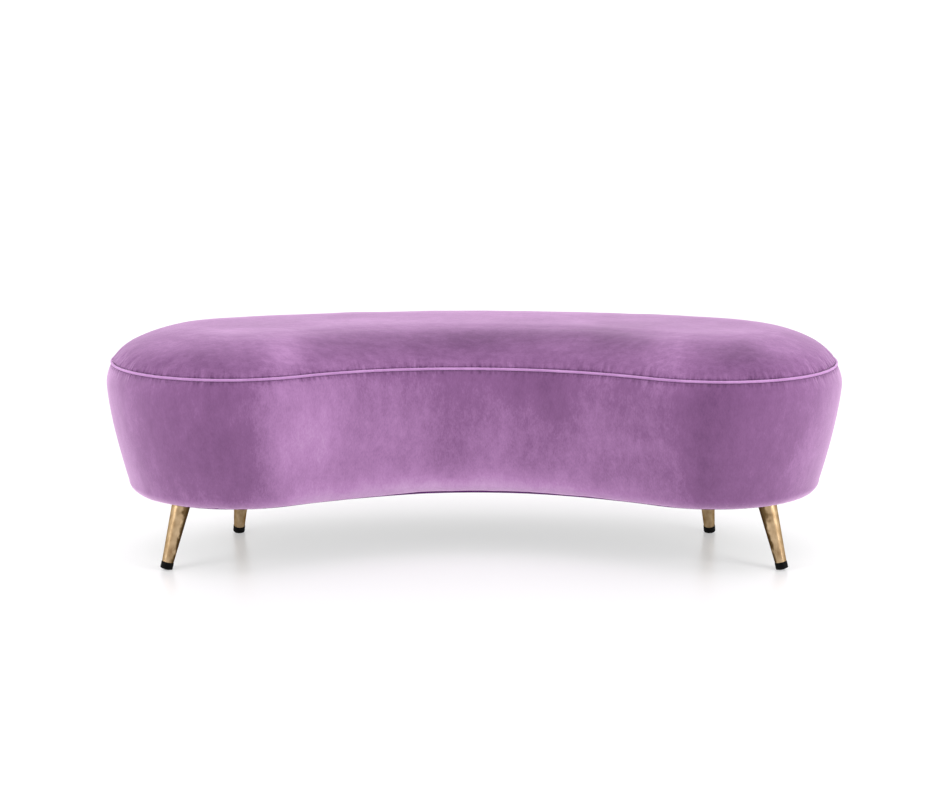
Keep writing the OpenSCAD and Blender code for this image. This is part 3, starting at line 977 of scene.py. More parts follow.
@dataclass(frozen=True)
class RubberFinish(TwoToneFinish):
    """Moulded rubber, scuffed where it stands."""

    name: str = "moulded_rubber"
    light: Colour = (0.009, 0.0085, 0.0085)
    dark: Colour = (0.002, 0.002, 0.002)

    def draw(self, graph: NodeGraph) -> Inputs:
        """Scuff a fine grain.

        Args:
            graph: The finish's nodes.

        Returns:
            The shader's inputs.
        """
        grain = graph.noise(graph.place(), 900, detail=3, roughness=0.6)
        scuffs = graph.noise(graph.place((1, 1, 3)), 70, detail=4, roughness=0.7)
        return dict(
            Base_Color=self.between(graph, scuffs, 0.5, 0.8), Specular_IOR_Level=0.07,
            Roughness=graph.level(scuffs, 0.3, 0.8, 0.5, 0.75),
            Normal=graph.relief((grain, 0.05 * MM)))


@dataclass(frozen=True)
class TimberFinish(TwoToneFinish):
    """Planed timber or sanded board.

    Args:
        along: Scale along each axis, small along the grain.
        rings: How close its rings are.
    """

    along: Place
    rings: float = 60

    def draw(self, graph: NodeGraph) -> Inputs:
        """Mix rings and pores.

        Args:
            graph: The finish's nodes.

        Returns:
            The shader's inputs.
        """
        vector = graph.place(self.along)
        rings = graph.waves(vector, self.rings, distortion=6, detail=3)
        pores = graph.noise(vector, 420, detail=3, roughness=0.7)
        figure = graph.total((rings, 0.55), (pores, 0.45))
        return dict(
            Base_Color=self.between(graph, figure, 0.25, 0.75),
            Roughness=graph.level(pores, 0.2, 0.8, 0.55, 0.72),
            Normal=graph.relief((figure, 0.15 * MM)))


@dataclass(frozen=True)
class FoamFinish(TwoToneFinish):
    """Open-cell foam with a slightly yellowed skin.

    Args:
        pores: How fine its pores are.
    """

    pores: float = 650

    def draw(self, graph: NodeGraph) -> Inputs:
        """Darken the pores with painted shade and sink them in the yellowed skin.

        Args:
            graph: The finish's nodes.

        Returns:
            The shader's inputs.
        """
        cells = graph.cells(graph.place(), self.pores)
        age = graph.noise(graph.place(), 6, detail=3)
        pore_shade = graph.tones(cells, (0.1, (0.72,) * 3), (0.5, (1,) * 3))
        return dict(
            Base_Color=graph.blend(1.0, self.between(graph, age, 0.35, 0.65), pore_shade, "MULTIPLY"),
            Roughness=graph.level(cells, 0, 1, 0.85, 0.95),
            Normal=graph.relief((cells, 0.6 * MM)))


@dataclass(frozen=True)
class FibreFinish(TwoToneFinish):
    """Matted or spun fibres, as in wadding, felt, cord and dust cloth.

    Args:
        scale: How fine the fibres are.
        depth: Depth of their relief.
    """

    scale: float
    depth: float

    def draw(self, graph: NodeGraph) -> Inputs:
        """Mix strands and broad patches.

        Args:
            graph: The finish's nodes.

        Returns:
            The shader's inputs.
        """
        vector = graph.place()
        strands = graph.noise(vector, self.scale, detail=5, roughness=0.75, distortion=1.2)
        patches = graph.noise(vector, self.scale / 40)
        mix = graph.total((strands, 0.7), (patches, 0.3))
        return dict(
            Base_Color=self.between(graph, mix, 0.35, 0.65), Sheen_Weight=0.2,
            Sheen_Roughness=0.6, Roughness=graph.level(strands, 0.3, 0.7, 0.82, 0.95),
            Normal=graph.relief((strands, self.depth)))


@dataclass(frozen=True)
class WebbingFinish(TwoToneFinish):
    """Jute webbing in plain weave.

    Args:
        threads: How close its threads are.
    """

    name: str = "jute_webbing"
    light: Colour = (0.5, 0.36, 0.19)
    dark: Colour = (0.27, 0.18, 0.08)
    threads: float = 150

    def draw(self, graph: NodeGraph) -> Inputs:
        """Cross warp and weft, with some fuzz.

        Args:
            graph: The finish's nodes.

        Returns:
            The shader's inputs.
        """
        vector = graph.place()
        warp, weft = (graph.waves(vector, self.threads, 0.8, direction=axis) for axis in "XY")
        weave = graph.maths("MAXIMUM", warp, weft)
        fuzz = graph.noise(vector, 500, detail=3)
        mix = graph.total((weave, 0.7), (fuzz, 0.3))
        return dict(
            Base_Color=self.between(graph, mix, 0.3, 0.8),
            Roughness=graph.level(fuzz, 0.3, 0.7, 0.8, 0.95),
            Normal=graph.relief((weave, 0.5 * MM), (fuzz, 0.1 * MM)))


@dataclass(frozen=True)
class ZincFinish(TwoToneFinish):
    """Bright zinc plating with a faint spangle."""

    name: str = "zinc_plated_steel"
    light: Colour = (0.62, 0.65, 0.7)
    dark: Colour = (0.45, 0.47, 0.5)

    def draw(self, graph: NodeGraph) -> Inputs:
        """Smear a spangle.

        Args:
            graph: The finish's nodes.

        Returns:
            The shader's inputs.
        """
        spangle = graph.cells(graph.place(), 420)
        smear = graph.noise(graph.place(), 90, detail=3)
        return dict(
            Base_Color=self.between(graph, spangle, 0.2, 0.8), Metallic=1.0,
            Roughness=graph.level(smear, 0.3, 0.7, 0.28, 0.5),
            Normal=graph.relief((smear, 0.02 * MM)))


@dataclass(frozen=True)
class StudioFloorFinish(TwoToneFinish):
    """Pale light table with a faint polish, lit a little from below."""

    name: str = "studio_floor"
    light: Colour = (0.58, 0.58, 0.58)
    dark: Colour = (0.54, 0.54, 0.54)
    glow: float = 0.335

    def draw(self, graph: NodeGraph) -> Inputs:
        """Cloud the floor faintly.

        Args:
            graph: The finish's nodes.

        Returns:
            The shader's inputs.
        """
        cloud = graph.noise(graph.place(), 0.8)
        return dict(
            Base_Color=self.between(graph, cloud, 0.3, 0.7), Specular_IOR_Level=0.35,
            Roughness=graph.level(cloud, 0.3, 0.7, 0.3, 0.31),
            Emission_Color=(1, 1, 1, 1), Emission_Strength=self.glow)


BEECH = ((0.7, 0.48, 0.28), (0.5, 0.3, 0.15))


class Look(Enum):
    """Every finish of the bench and its floor."""

    # Seat and side are one velvet: the seat's lighter tones are painted light on the top, making
    # up for its weaker sheen.
    SEAT = VelvetFinish(
        "orchid_velvet_seat",
        ((0.135, 0.053, 0.143), (0.235, 0.105, 0.246), (0.42, 0.217, 0.435)), (1, 1.6, 1.6),
        sheen=0.5, mottle_h=0.6 * MM, mottling=0.38)
    SIDE = VelvetFinish(
        "orchid_velvet_side",
        ((0.118, 0.041, 0.125), (0.193, 0.078, 0.203), (0.38, 0.187, 0.395)), (1.25, 1.25, 0.7),
        sheen_roughness=0.48, gathers=3.5 * MM, gather_reach=26 * MM, grain_stretch=(1, 1, 0.35))
    PIPING = VelvetFinish(
        "pale_velvet_piping", ((0.33, 0.15, 0.36), (0.43, 0.22, 0.46), (0.56, 0.32, 0.6)),
        (4, 4, 4), sheen=0.8, mapped=False)
    # The welt's tones are the velvet darkened as painted shade under the hem fold, with little
    # sheen.
    WELT = VelvetFinish(
        "shade_dark_velvet_welt", ((0.08, 0.015, 0.1), (0.12, 0.03, 0.15), (0.18, 0.06, 0.22)),
        (4, 4, 4), sheen=0.1, mapped=False)
    BRASS = BrushedBrassFinish()
    RUBBER = RubberFinish()
    ZINC = ZincFinish()
    WEBBING = WebbingFinish()
    BEECH_UP = TimberFinish("beech_upright", *BEECH, (1, 1, 0.06))
    BEECH_ACROSS = TimberFinish("beech_lengthways", *BEECH, (1, 0.06, 1))
    PLYWOOD = TimberFinish(
        "birch_plywood", (0.74, 0.55, 0.33), (0.56, 0.37, 0.19), (0.05, 1, 1), 25)
    FIRM_FOAM = FoamFinish("firm_blue_foam", (0.55, 0.68, 0.77), (0.45, 0.58, 0.66))
    SOFT_FOAM = FoamFinish("soft_cream_foam", (0.9, 0.86, 0.72), (0.82, 0.75, 0.56))
    WADDING = FibreFinish(
        "polyester_wadding", (0.95, 0.95, 0.93), (0.82, 0.82, 0.8), 260, 0.8 * MM)
    FELT = FibreFinish("needled_felt", (0.36, 0.35, 0.34), (0.2, 0.2, 0.2), 500, 0.25 * MM)
    COTTON = FibreFinish(
        "twisted_cotton", (0.82, 0.76, 0.62), (0.66, 0.58, 0.44), 700, 0.2 * MM)
    DUST_CLOTH = FibreFinish(
        "spun_dust_cloth", (0.03, 0.03, 0.032), (0.014, 0.014, 0.015), 900, 0.06 * MM)
    FLOOR = StudioFloorFinish()

    @cached_property
    def material(self) -> bpy.types.Material:
        """Its material, made once."""
        return self.value.make()


def dress(piece: Piece, look: Look) -> None:
    """Give a piece or a CAD node one finish in all its slots.

    Args:
        piece: The piece or node.
        look: The finish.
    """
    slots = piece.data.materials
    if not slots:
        slots.append(look.material)
    for i in range(len(slots)):
        slots[i] = look.material


def finish_piece(piece: Piece, look: Look, slot: str, *nodes: str, fill: float | None = None
                 ) -> None:
    """Dress a piece, set it on the bench's body, hide the CAD nodes that it stands for and log
    their names.

    Args:
        piece: The piece.
        look: Its finish.
        slot: The record's material slot; not used.
        *nodes: CAD nodes that it stands for.
        fill: How full it is, if it is padded; not used.
    """
    dress(piece, look)
    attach(piece, BODY)
    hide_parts(*nodes)
    log.info("%s: %d faces, for %s", piece.name, len(piece.data.polygons), ", ".join(nodes))


@dataclass(frozen=True)
class ClothEase:
    """Cloth simulation of velvet that is eased into a seam and pushed out by its padding.

    Args:
        pressure: Push of the padding.
        growth: Share by which the cloth is longer than the seam that it is sewn to.
        cap: The furthest that a point may move.
        reach: How far from the seam the cloth is eased.
        frames: Number of frames.
    """

    pressure: float
    growth: float
    cap: float
    reach: float
    frames: int = 20

    def set_up(self, settings: bpy.types.ClothSettings) -> None:
        """Set the cloth's weight, stiffness and pressure.

        Args:
            settings: The cloth's settings.
        """
        values = dict(
            quality=5, mass=0.3, tension_stiffness=20, compression_stiffness=20,
            shear_stiffness=8, bending_stiffness=0.6, air_damping=4, pin_stiffness=1,
            vertex_group_mass="held", vertex_group_shrink="eased", shrink_min=0,
            shrink_max=-self.growth, use_pressure=True, uniform_pressure_force=self.pressure)
        for key, value in values.items():
            setattr(settings, key, value)
        settings.effector_weights.gravity = 0

    def run(self, piece: Piece, held: np.ndarray, roundness: np.ndarray, away: np.ndarray
            ) -> None:
        """Simulate, cap how far each point moves and keep the result in the mesh.

        Args:
            piece: The sheet.
            held: Pin weight of each vertex, which is cut off at 0 and 1.
            roundness: Roundness of the plan there.
            away: Distance of each vertex from the seam.
        """
        scene = bpy.context.scene
        start = coords_of(piece)
        eased = roundness * np.clip(1 - away / self.reach, 0, 1)
        for name, weights in (("held", np.clip(held, 0, 1)), ("eased", eased)):
            group = piece.vertex_groups.new(name=name)
            for index in np.flatnonzero(weights > 0):
                group.add([int(index)], float(weights[index]), "REPLACE")
        cloth = piece.modifiers.new("Velvet ease", "CLOTH")
        self.set_up(cloth.settings)
        cloth.collision_settings.use_collision = False
        cloth.point_cache.frame_start = 1
        cloth.point_cache.frame_end = self.frames
        for number in range(1, self.frames + 1):
            scene.frame_set(number)
        result = piece.evaluated_get(bpy.context.evaluated_depsgraph_get())
        moved = read_all(result.to_mesh().vertices, "co", float, 3) - start
        result.to_mesh_clear()
        piece.modifiers.remove(cloth)
        piece.vertex_groups.clear()
        scene.frame_set(1)
        far = np.linalg.norm(moved, axis=1, keepdims=True)
        log.info("%s: cloth moved %.1f mm at most", piece.name, float(far.max()) / MM)
        least = 1e-9
        capped = moved * (self.cap * np.tanh(far / self.cap) / np.maximum(far, least))
        set_coords(piece, start + capped)


@dataclass(frozen=True)
class VelvetSheet:
    """How one velvet sheet is eased, creased and painted with nap patches and painted light and
    shade.

    Args:
        look: Its finish.
        fill: How full the padding behind it is.
        find: Finds the distance from the seam, inset and run of its points.
        ease: Its cloth simulation.
        creases: Its creases.
        swells: Waves a metre of its unevenness along each axis.
        swell_h: Height of that.
        light_and_shade_strokes: Patches of crushed nap and of painted light and shade, each a row
            of its middle, its half size along each axis and how much lighter it looks.
    """

    look: Look
    fill: float
    find: Callable[[np.ndarray], Found]
    ease: ClothEase
    creases: tuple[Puckers, ...]
    swells: Place
    swell_h: float
    light_and_shade_strokes: tuple[tuple[float, ...], ...]

    def paint_nap_light_and_shade(self, piece: Piece) -> None:
        """Paint the nap patches and the painted light and shade on the piece, as its nap
        attribute.

        Args:
            piece: The sheet.
        """
        coords = coords_of(piece)
        lifts = np.zeros(len(coords))
        for *patch, lift in self.light_and_shade_strokes:
            away = (coords - patch[:3]) / patch[3:]
            lifts += lift * np.exp(-(away**2).sum(axis=1))
        nap = piece.data.attributes.new("nap", "FLOAT", "POINT")
        nap.data.foreach_set("value", lifts)


# Nap patches: partly crushed nap, partly painted light and shade, such as the light band along the
# hem, the light rims at the ends, the light patch left of the waist and the darkened crown. Each
# row is a middle, half sizes along each axis and how much lighter it looks.
SEAT_NAP_LIGHT_AND_SHADE = (
    (-0.66, -0.15, 0.43, 0.05, 0.10, 0.04, -0.6), (-0.53, -0.28, 0.418, 0.13, 0.06, 0.03, -0.9),
    (-0.46, -0.03, 0.466, 0.08, 0.06, 0.02, -0.8), (-0.385, -0.22, 0.415, 0.04, 0.05, 0.03, 1.9),
    (-0.37, -0.17, 0.435, 0.04, 0.09, 0.05, 1.3), (-0.42, -0.10, 0.455, 0.05, 0.06, 0.03, 0.7),
    (-0.25, -0.12, 0.44, 0.08, 0.06, 0.05, -1.0), (-0.03, -0.10, 0.44, 0.12, 0.06, 0.05, -0.9),
    (0.02, -0.10, 0.445, 0.15, 0.07, 0.04, -1.3), (0.20, -0.10, 0.44, 0.11, 0.05, 0.04, -0.9),
    (0.30, -0.13, 0.44, 0.07, 0.08, 0.05, -1.9), (0.36, -0.03, 0.466, 0.12, 0.06, 0.02, -1.0),
    (0.40, -0.19, 0.445, 0.04, 0.07, 0.04, 0.6), (0.48, -0.27, 0.425, 0.10, 0.06, 0.035, -0.9),
    (0.535, -0.24, 0.43, 0.05, 0.07, 0.04, -1.3))
SIDE_NAP_LIGHT_AND_SHADE = (
    (0, 0, 0.139, 9, 9, 0.014, 0.8), (-0.05, -0.2, 0.139, 0.36, 0.2, 0.016, 1.0),
    (-0.03, -0.2, 0.16, 0.36, 0.2, 0.035, 1.5), (0.0, -0.2, 0.155, 0.22, 0.2, 0.018, 1.2),
    (0.03, -0.2, 0.392, 0.22, 0.2, 0.02, -0.8), (-0.34, -0.2, 0.15, 0.07, 0.2, 0.025, 1.0),
    (-0.10, -0.15, 0.24, 0.35, 0.2, 0.12, 0.6), (-0.73, -0.05, 0.28, 0.06, 0.3, 0.2, 0.9),
    (0.73, -0.05, 0.28, 0.05, 0.3, 0.2, 0.6), (-0.60, -0.25, 0.27, 0.06, 0.2, 0.14, -0.6),
    (-0.48, -0.3, 0.28, 0.06, 0.2, 0.14, -0.9), (-0.45, -0.3, 0.39, 0.08, 0.2, 0.03, -0.5),
    (-0.375, -0.2, 0.385, 0.045, 0.2, 0.03, 1.1), (-0.37, -0.2, 0.28, 0.05, 0.2, 0.12, 1.2),
    (-0.315, -0.2, 0.32, 0.05, 0.2, 0.10, 1.5), (-0.34, -0.2, 0.22, 0.065, 0.2, 0.07, 1.3),
    (-0.26, -0.2, 0.27, 0.06, 0.2, 0.09, 0.6), (-0.13, -0.15, 0.27, 0.05, 0.2, 0.12, 0.6),
    (0.05, -0.15, 0.36, 0.09, 0.2, 0.05, -0.5), (0.18, -0.18, 0.34, 0.05, 0.2, 0.09, -0.7),
    (0.25, -0.2, 0.25, 0.06, 0.2, 0.12, 0.7), (0.36, -0.25, 0.28, 0.05, 0.2, 0.12, 0.4),
    (0.47, -0.3, 0.35, 0.09, 0.2, 0.09, -0.7), (0.50, -0.3, 0.39, 0.07, 0.2, 0.03, -0.8),
    (0.50, -0.3, 0.20, 0.09, 0.2, 0.09, -1.0))


@dataclass
class Upholstery:
    """Velvet seat, side band, piping and welt, with the padding behind them.

    The foot's sags are pairs of a distance along the seam from the waist and a drop there.
    """

    plan: KidneyPlan
    section: BenchSection = BenchSection()
    warp: SeamWarp = SeamWarp()
    spacing: float = 6 * MM
    padding_spacing: float = 30 * MM
    padding_steps: int = 12
    padding_start: float = 7 * MM
    ledge_in: float = 22 * MM
    felt_in: float = 24 * MM
    slab_edge: float = 6 * MM
    press: float = 7 * MM
    wadding_t: float = 6 * MM
    side_foam_t: float = 12 * MM
    side_foam_top: float = 52 * MM
    tucked: tuple[Point, ...] = (
        (11 * MM, 0.7 * MM), (7 * MM, 0.75 * MM), (4 * MM, 0.8 * MM), (3 * MM, 1.1 * MM),
        (2.5 * MM, 2 * MM), (1.9 * MM, 2.9 * MM))
    piping_r: float = 2.7 * MM
    piping_in: float = -0.5 * MM
    cord_r: float = 1.9 * MM
    foot_in: float = 12 * MM
    foot_sags: tuple[Point, ...] = (
        (-1.81, 1.0 * MM), (-1.2, 2.0 * MM), (-0.92, 4.6 * MM), (-0.72, 3.2 * MM),
        (-0.55, 2.4 * MM), (-0.36, 4.0 * MM), (-0.27, 5.4 * MM), (-0.18, 3.8 * MM),
        (-0.1, 0.4 * MM), (0, 0), (0.1, 0.2 * MM), (0.18, 2.0 * MM), (0.27, 4.0 * MM),
        (0.36, 3.4 * MM), (0.55, 2.6 * MM), (0.72, 3.4 * MM), (0.92, 4.8 * MM),
        (1.2, 2.0 * MM), (1.81, 1.0 * MM))
    shoulder_drop: float = 2.2 * MM
    shoulder_reach: float = 150 * MM
    welt_r: float = 2 * MM
    welt_hang: float = 0.7
    welt_show: float = 0.4 * MM
    crown_start: float = 4 * MM
    crown_steps: int = 28
    middle_cuts: int = 9
    side_start: float = 4.5 * MM
    side_steps: int = 36
    fold_steps: int = 9
    fine_reach: float = 60 * MM
    fine_cuts: int = 3
    seat_free: float = 0.7
    seat_hold: float = 20 * MM
    side_free: float = 90 * MM
    side_hold: float = 60 * MM
    swell_in: float = 14 * MM
    sewn_w: float = 3 * MM
    crease_in: float = 4 * MM
    dust_in: float = 6 * MM
    dust_spacing: float = 12 * MM
    dust_sag: float = 0.9 * MM
    dust_slope: float = 120 * MM
    hem_puckers: Puckers = Puckers(34 * MM, 1.0 * MM, 5 * MM, 30 * MM, 31)

    @cached_property
    def seat_sheet(self) -> VelvetSheet:
        """Velvet of the seat."""
        creases = (Puckers(13 * MM, 2.0 * MM, 3.0 * MM, 30 * MM, 11),
                   Puckers(60 * MM, 2.4 * MM, 6.0 * MM, 52 * MM, 12))
        return VelvetSheet(Look.SEAT, 0.85, self.find_on_seat,
                           ClothEase(4.0, 0.05, 6 * MM, 45 * MM), creases, (9, 9, 9), 1.0 * MM,
                           SEAT_NAP_LIGHT_AND_SHADE)

    @cached_property
    def side_sheet(self) -> VelvetSheet:
        """Velvet of the side."""
        creases = (Puckers(15 * MM, 1.5 * MM, 2.9 * MM, 24 * MM, 21),
                   Puckers(75 * MM, 1.7 * MM, 6.0 * MM, 42 * MM, 22))
        return VelvetSheet(Look.SIDE, 0.9, self.find_on_side,
                           ClothEase(1.2, 0.035, 3 * MM, 40 * MM), creases, (14, 14, 4),
                           0.7 * MM, SIDE_NAP_LIGHT_AND_SHADE)

    def build(self) -> None:
        """Build the padding, the covers and their trimmings."""
        self.build_padding()
        self.build_seat_cover()
        self.build_side_band()
        self.build_piping()
        self.build_welt()
        self.build_dust_cover()

    def find_on_seat(self, coords: np.ndarray) -> Found:
        """Find where points of the seat cover lie.

        Args:
            coords: The points, one a row.

        Returns:
            Their distances from the seam, insets and runs.
        """
        inset, run = self.plan.locate(coords)
        rise = coords[:, 2] - self.section.seam_z
        return np.hypot(np.maximum(inset, 0), np.maximum(rise, 0)), inset, run

    def find_on_side(self, coords: np.ndarray) -> Found:
        """Distance from the seam, inset and run of points of the side band."""
        drop = self.section.seam_z - coords[:, 2]
        return np.where(drop < self.side_start, 0, drop), *self.plan.locate(coords)

    def tuck(self, upwards: float) -> list[Point]:
        """Cloth that turns in above the piping, or below it where upwards is -1."""
        return [(inset, self.section.seam_z + upwards * rise) for inset, rise in self.tucked]

    def build_seat_cover(self) -> None:
        """Crowned velvet cover of the seat, eased into the piped seam."""
        crown = self.section.crown(0, self.crown_start, self.crown_steps)
        cover = self.plan.loft("seat_cover_velvet", self.tuck(1) + crown, self.spacing,
                               levels=crown[-1:], cuts=self.middle_cuts)
        face_outwards(cover, lambda place: Vector((0, 0, 1)))
        coords = coords_of(cover)
        away, inset, run = self.find_on_seat(coords)
        sewn = coords[:, 2] - self.section.seam_z < self.crown_start
        free = self.seat_free * self.section.crown_w
        held = np.where(sewn, 1, (inset - free) / self.seat_hold)
        self.seat_sheet.ease.run(cover, held, self.plan.roundness(run), away)
        self.draw_shoulders_in(cover)
        self.soften(cover, self.seat_sheet)
        self.finish_velvet(cover, self.seat_sheet, "seat_cover")

    def build_side_band(self) -> None:
        """Velvet band round the side, from the piped seam down round the foot to the hem."""
        section = self.section
        wall = section.side(0, self.side_start, self.side_steps)
        foot = section.fold(0, self.fold_steps)
        hem = [(section.fold_in + section.hem_w * share, section.clear_z)
               for share in (0.1, 0.4, 0.7, 1)]
        band = self.plan.loft("side_band_velvet", self.tuck(-1) + wall + foot + hem, self.spacing)
        face_outwards(band, lambda place: Vector((place.x, place.y + 0.05, 0)))
        away, _, run = self.find_on_side(coords_of(band))
        held = np.where(away < self.side_start, 1, (away - self.side_free) / self.side_hold)
        self.side_sheet.ease.run(band, held, self.plan.roundness(run), away)
        self.soften(band, self.side_sheet)
        coords = coords_of(band)
        _, inset, run = self.find_on_side(coords)
        up = coords[:, 2] - section.clear_z
        outer = inset < section.fold_in - 2 * MM
        folds = self.hem_puckers.depths(self.plan, run, np.abs(up)) * outer
        full = np.exp(-((inset - section.fold_in + self.foot_in) / self.foot_in) ** 2)
        push(band, -folds, -self.foot_sag(run) * full * (up < section.fold_h))
        self.finish_velvet(band, self.side_sheet, "side_band")

    def finish_velvet(self, piece: Piece, sheet: VelvetSheet, node: str) -> None:
        """Paint a velvet sheet's nap patches and painted light and shade, give it its thickness
        and dress it.

        Args:
            piece: The sheet.
            sheet: Its values.
            node: The CAD node that it stands for.
        """
        sheet.paint_nap_light_and_shade(piece)
        add_sheet_thickness(piece, self.section.velvet_t)
        finish_piece(piece, sheet.look, "velvet", node, fill=sheet.fill)

    def draw_shoulders_in(self, piece: Piece) -> None:
        """Draw the seat's shoulders in round the ends, where the cover is pulled tight.

        Args:
            piece: The sheet or layer.
        """
        away, _, run = self.find_on_seat(coords_of(piece))
        round_end = np.clip((self.plan.roundness(run) - 0.4) / 0.6, 0, 1)
        swept = np.sin(np.pi * np.clip(away / self.shoulder_reach, 0, 1))
        push(piece, -self.shoulder_drop * round_end * swept)

    def follow_seam(self, piece: Piece) -> None:
        """Move a sheet, a layer of padding or a cord with the seam's drift."""
        push(piece, up=self.warp.lift(coords_of(piece), self.section.seam_z))

    def soften(self, piece: Piece, sheet: VelvetSheet) -> None:
        """Give a velvet sheet its creases, unevenness, drift and cloth map.

        Args:
            piece: The sheet.
            sheet: Its values.
        """
        self.refine(piece, sheet)
        coords = coords_of(piece)
        away, _, run = sheet.find(coords)
        sunk = sum(style.depths(self.plan, run, away) for style in sheet.creases)
        loose = np.clip(away / self.swell_in, 0, 1)
        free = np.clip((away - self.sewn_w) / self.crease_in, 0, 1)
        push(piece, sheet.swell_h * rough(coords, sheet.swells, 3.7) * loose - sunk * free)
        self.follow_seam(piece)
        from_join = (run - self.plan.back_run) % self.plan.length
        map_cloth(piece, from_join, away, self.plan.length)

    def refine(self, piece: Piece, sheet: VelvetSheet) -> None:
        """Add rings between the rings near the seam, so that narrow creases keep their shape.

        Args:
            piece: The sheet.
            sheet: Its values.
        """
        away, _, run = sheet.find(coords_of(piece))
        with reworked(piece) as bm:
            along = []
            for edge in bm.edges:
                a, b = (vert.index for vert in edge.verts)
                step = abs(run[a] - run[b])
                long = min(step, self.plan.length - step) > self.spacing * 0.4
                if long and max(away[a], away[b]) < self.fine_reach:
                    along.append(edge)
            bmesh.ops.subdivide_edges(bm, edges=along, cuts=self.fine_cuts)
        faces = piece.data.polygons
        faces.foreach_set("use_smooth", [True] * len(faces))

    def foot_sag(self, run: np.ndarray) -> np.ndarray:
        """How far the padded foot sags at each run.

        Args:
            run: Runs along the seam.

        Returns:
            The drop at each.
        """
        half = self.plan.length / 2
        from_waist = (run - self.plan.arcs[0].length / 2 + half) % self.plan.length - half
        return np.interp(from_waist, *np.array(self.foot_sags).T)

    def build_cord(self, name: str, r: float, count: int, spacing: float, ripple: float) -> Piece:
        """Round cord along the piped seam.

        Args:
            name: The piece's name.
            r: Its radius.
            count: Points round it.
            spacing: Spacing of its rings.
            ripple: Height of the small ripples of its cloth.

        Returns:
            The piece.
        """
        middle, half = (self.piping_in, self.section.seam_z), 180 / count
        ring = round_points(middle, r, half, 360 - half, count - 1)
        piece = self.plan.loft(name, ring, spacing, closed=True)
        push(piece, ripple * rough(coords_of(piece), (110, 110, 260), 1.3))
        self.follow_seam(piece)
        return piece

    def build_piping(self) -> None:
        """Piping sleeve of paler velvet, and the cotton cord inside it."""
        sleeve = self.build_cord("piping_sleeve", self.piping_r, 16, 3.5 * MM, 0.14 * MM)
        finish_piece(sleeve, Look.PIPING, "piping_velvet", "piping", fill=1.0)
        cord = self.build_cord("piping_cotton_cord", self.cord_r, 8, 12 * MM, 0)
        finish_piece(cord, Look.COTTON, "cotton", "piping_cord")

    def build_welt(self) -> None:
        """Narrow welt of velvet, coloured darker as painted shade under the hem fold, that shows
        as a dark line under the hem.
        """
        r = self.welt_r
        inset, z = self.section.fold_in - r, self.section.clear_z - r
        bead = round_points((inset, z), r, 30, -270, 10)
        section = [(inset + r * 7, z + r / 2), *bead, (inset + r * 7, z + r)]
        welt = self.plan.loft("hem_welt", section, self.spacing, closed=True)
        _, run = self.plan.locate(coords_of(welt))
        hang = self.welt_hang * self.foot_sag(run) + self.welt_show
        push(welt, up=-hang * (1 - self.plan.roundness(run)))
        finish_piece(welt, Look.WELT, "velvet", "base_welt", fill=1.0)

    def build_dust_cover(self) -> None:
        """Black dust cloth stretched under the bench, with a slight sag."""
        low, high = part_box("dust_cover")
        inset = self.section.fold_in + self.dust_in
        rim = [(inset + 0.02 * i, high.z) for i in range(6)]
        cloth = self.plan.loft("dust_cover_cloth", rim, self.dust_spacing, levels=rim[-1:],
                               cuts=self.middle_cuts)
        face_outwards(cloth, lambda place: Vector((0, 0, -1)))
        depth, _ = self.plan.locate(coords_of(cloth))
        push(cloth, up=-self.dust_sag * np.clip((depth - inset) / self.dust_slope, 0, 1) ** 2)
        add_sheet_thickness(cloth, high.z - low.z)
        finish_piece(cloth, Look.DUST_CLOTH, "dust_cloth", "dust_cover")

    def build_padding(self) -> None:
        """Foam and wadding behind the velvet, pressed in a little where the velvet is sewn."""
        section, start, count = self.section, self.padding_start, self.padding_steps
        outer = section.crown(self.press, start, count)
        inner = section.crown(self.press + self.wadding_t, start, count)
        self.pad("seat_wadding", inner[::-1] + outer, Look.WADDING, 0.6, "wadding")
        ledge = [(self.ledge_in, section.seam_z + rise) for rise in (-0.8 * MM, 6 * MM)]
        crown = section.crown(self.press + self.wadding_t + MM, start, count)
        self.pad("seat_soft_foam", ledge + crown, Look.SOFT_FOAM, 0.8, "soft_foam")
        low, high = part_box("firm_foam")
        slab = [(section.side_inset(z) + self.press, z)
                for z in (low.z, (low.z + high.z) / 2, high.z - self.slab_edge)]
        slab.append((self.slab_edge, high.z))
        self.pad("seat_firm_foam", slab, Look.FIRM_FOAM, 1.0, "firm_foam")
        sheet = [(section.side_inset(corner.z) + self.felt_in, corner.z)
                 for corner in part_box("felt")]
        self.pad("webbing_felt", sheet, Look.FELT, 1.0, "felt")
        self.build_side_foam()

    def pad(self, name: str, path: list[Point], look: Look, fill: float, node: str) -> None:
        """One closed layer of padding, whose section's two ends are levelled off.

        Args:
            name: The piece's name.
            path: Its section, from its lower end to its upper one.
            look: Its finish.
            fill: How full it is.
            node: The CAD node that it stands for, which is also its material slot.
        """
        piece = self.plan.loft(name, path, self.padding_spacing, levels=[path[0], path[-1]],
                               cuts=3)
        self.draw_shoulders_in(piece)
        self.follow_seam(piece)
        finish_piece(piece, look, node, node, fill=fill)

    def build_side_foam(self) -> None:
        """Thin foam round the side, wrapped under its foot."""
        inside = self.side_foam_t + self.section.velvet_t
        outer, inner = (self.section.side(depth, self.side_foam_top, self.padding_steps)
                        + self.section.fold(depth, 5) for depth in (self.press, inside))
        foam = self.plan.loft("side_foam_wrap", outer + inner[::-1], self.padding_spacing,
                              closed=True)
        self.follow_seam(foam)
        strips = [f"side_foam_{side}" for side in ("front", "back", "left", "right")]
        finish_piece(foam, Look.SOFT_FOAM, "soft_foam", *strips, fill=0.9)


@dataclass(frozen=True)
class LegRow:
    """Where a pair of legs stands and how it leans.

    Args:
        name: Front or rear.
        inset: Inset of the middle of a top from the seam.
        bearing: Bearing of a top from the centre of its end, in degrees.
        turn: Direction of the splay, in degrees.
        screwed: How far round its axis the map is turned, placing the painted dark reflection, in
            degrees.
    """

    name: str
    inset: float
    bearing: float
    turn: float
    screwed: float


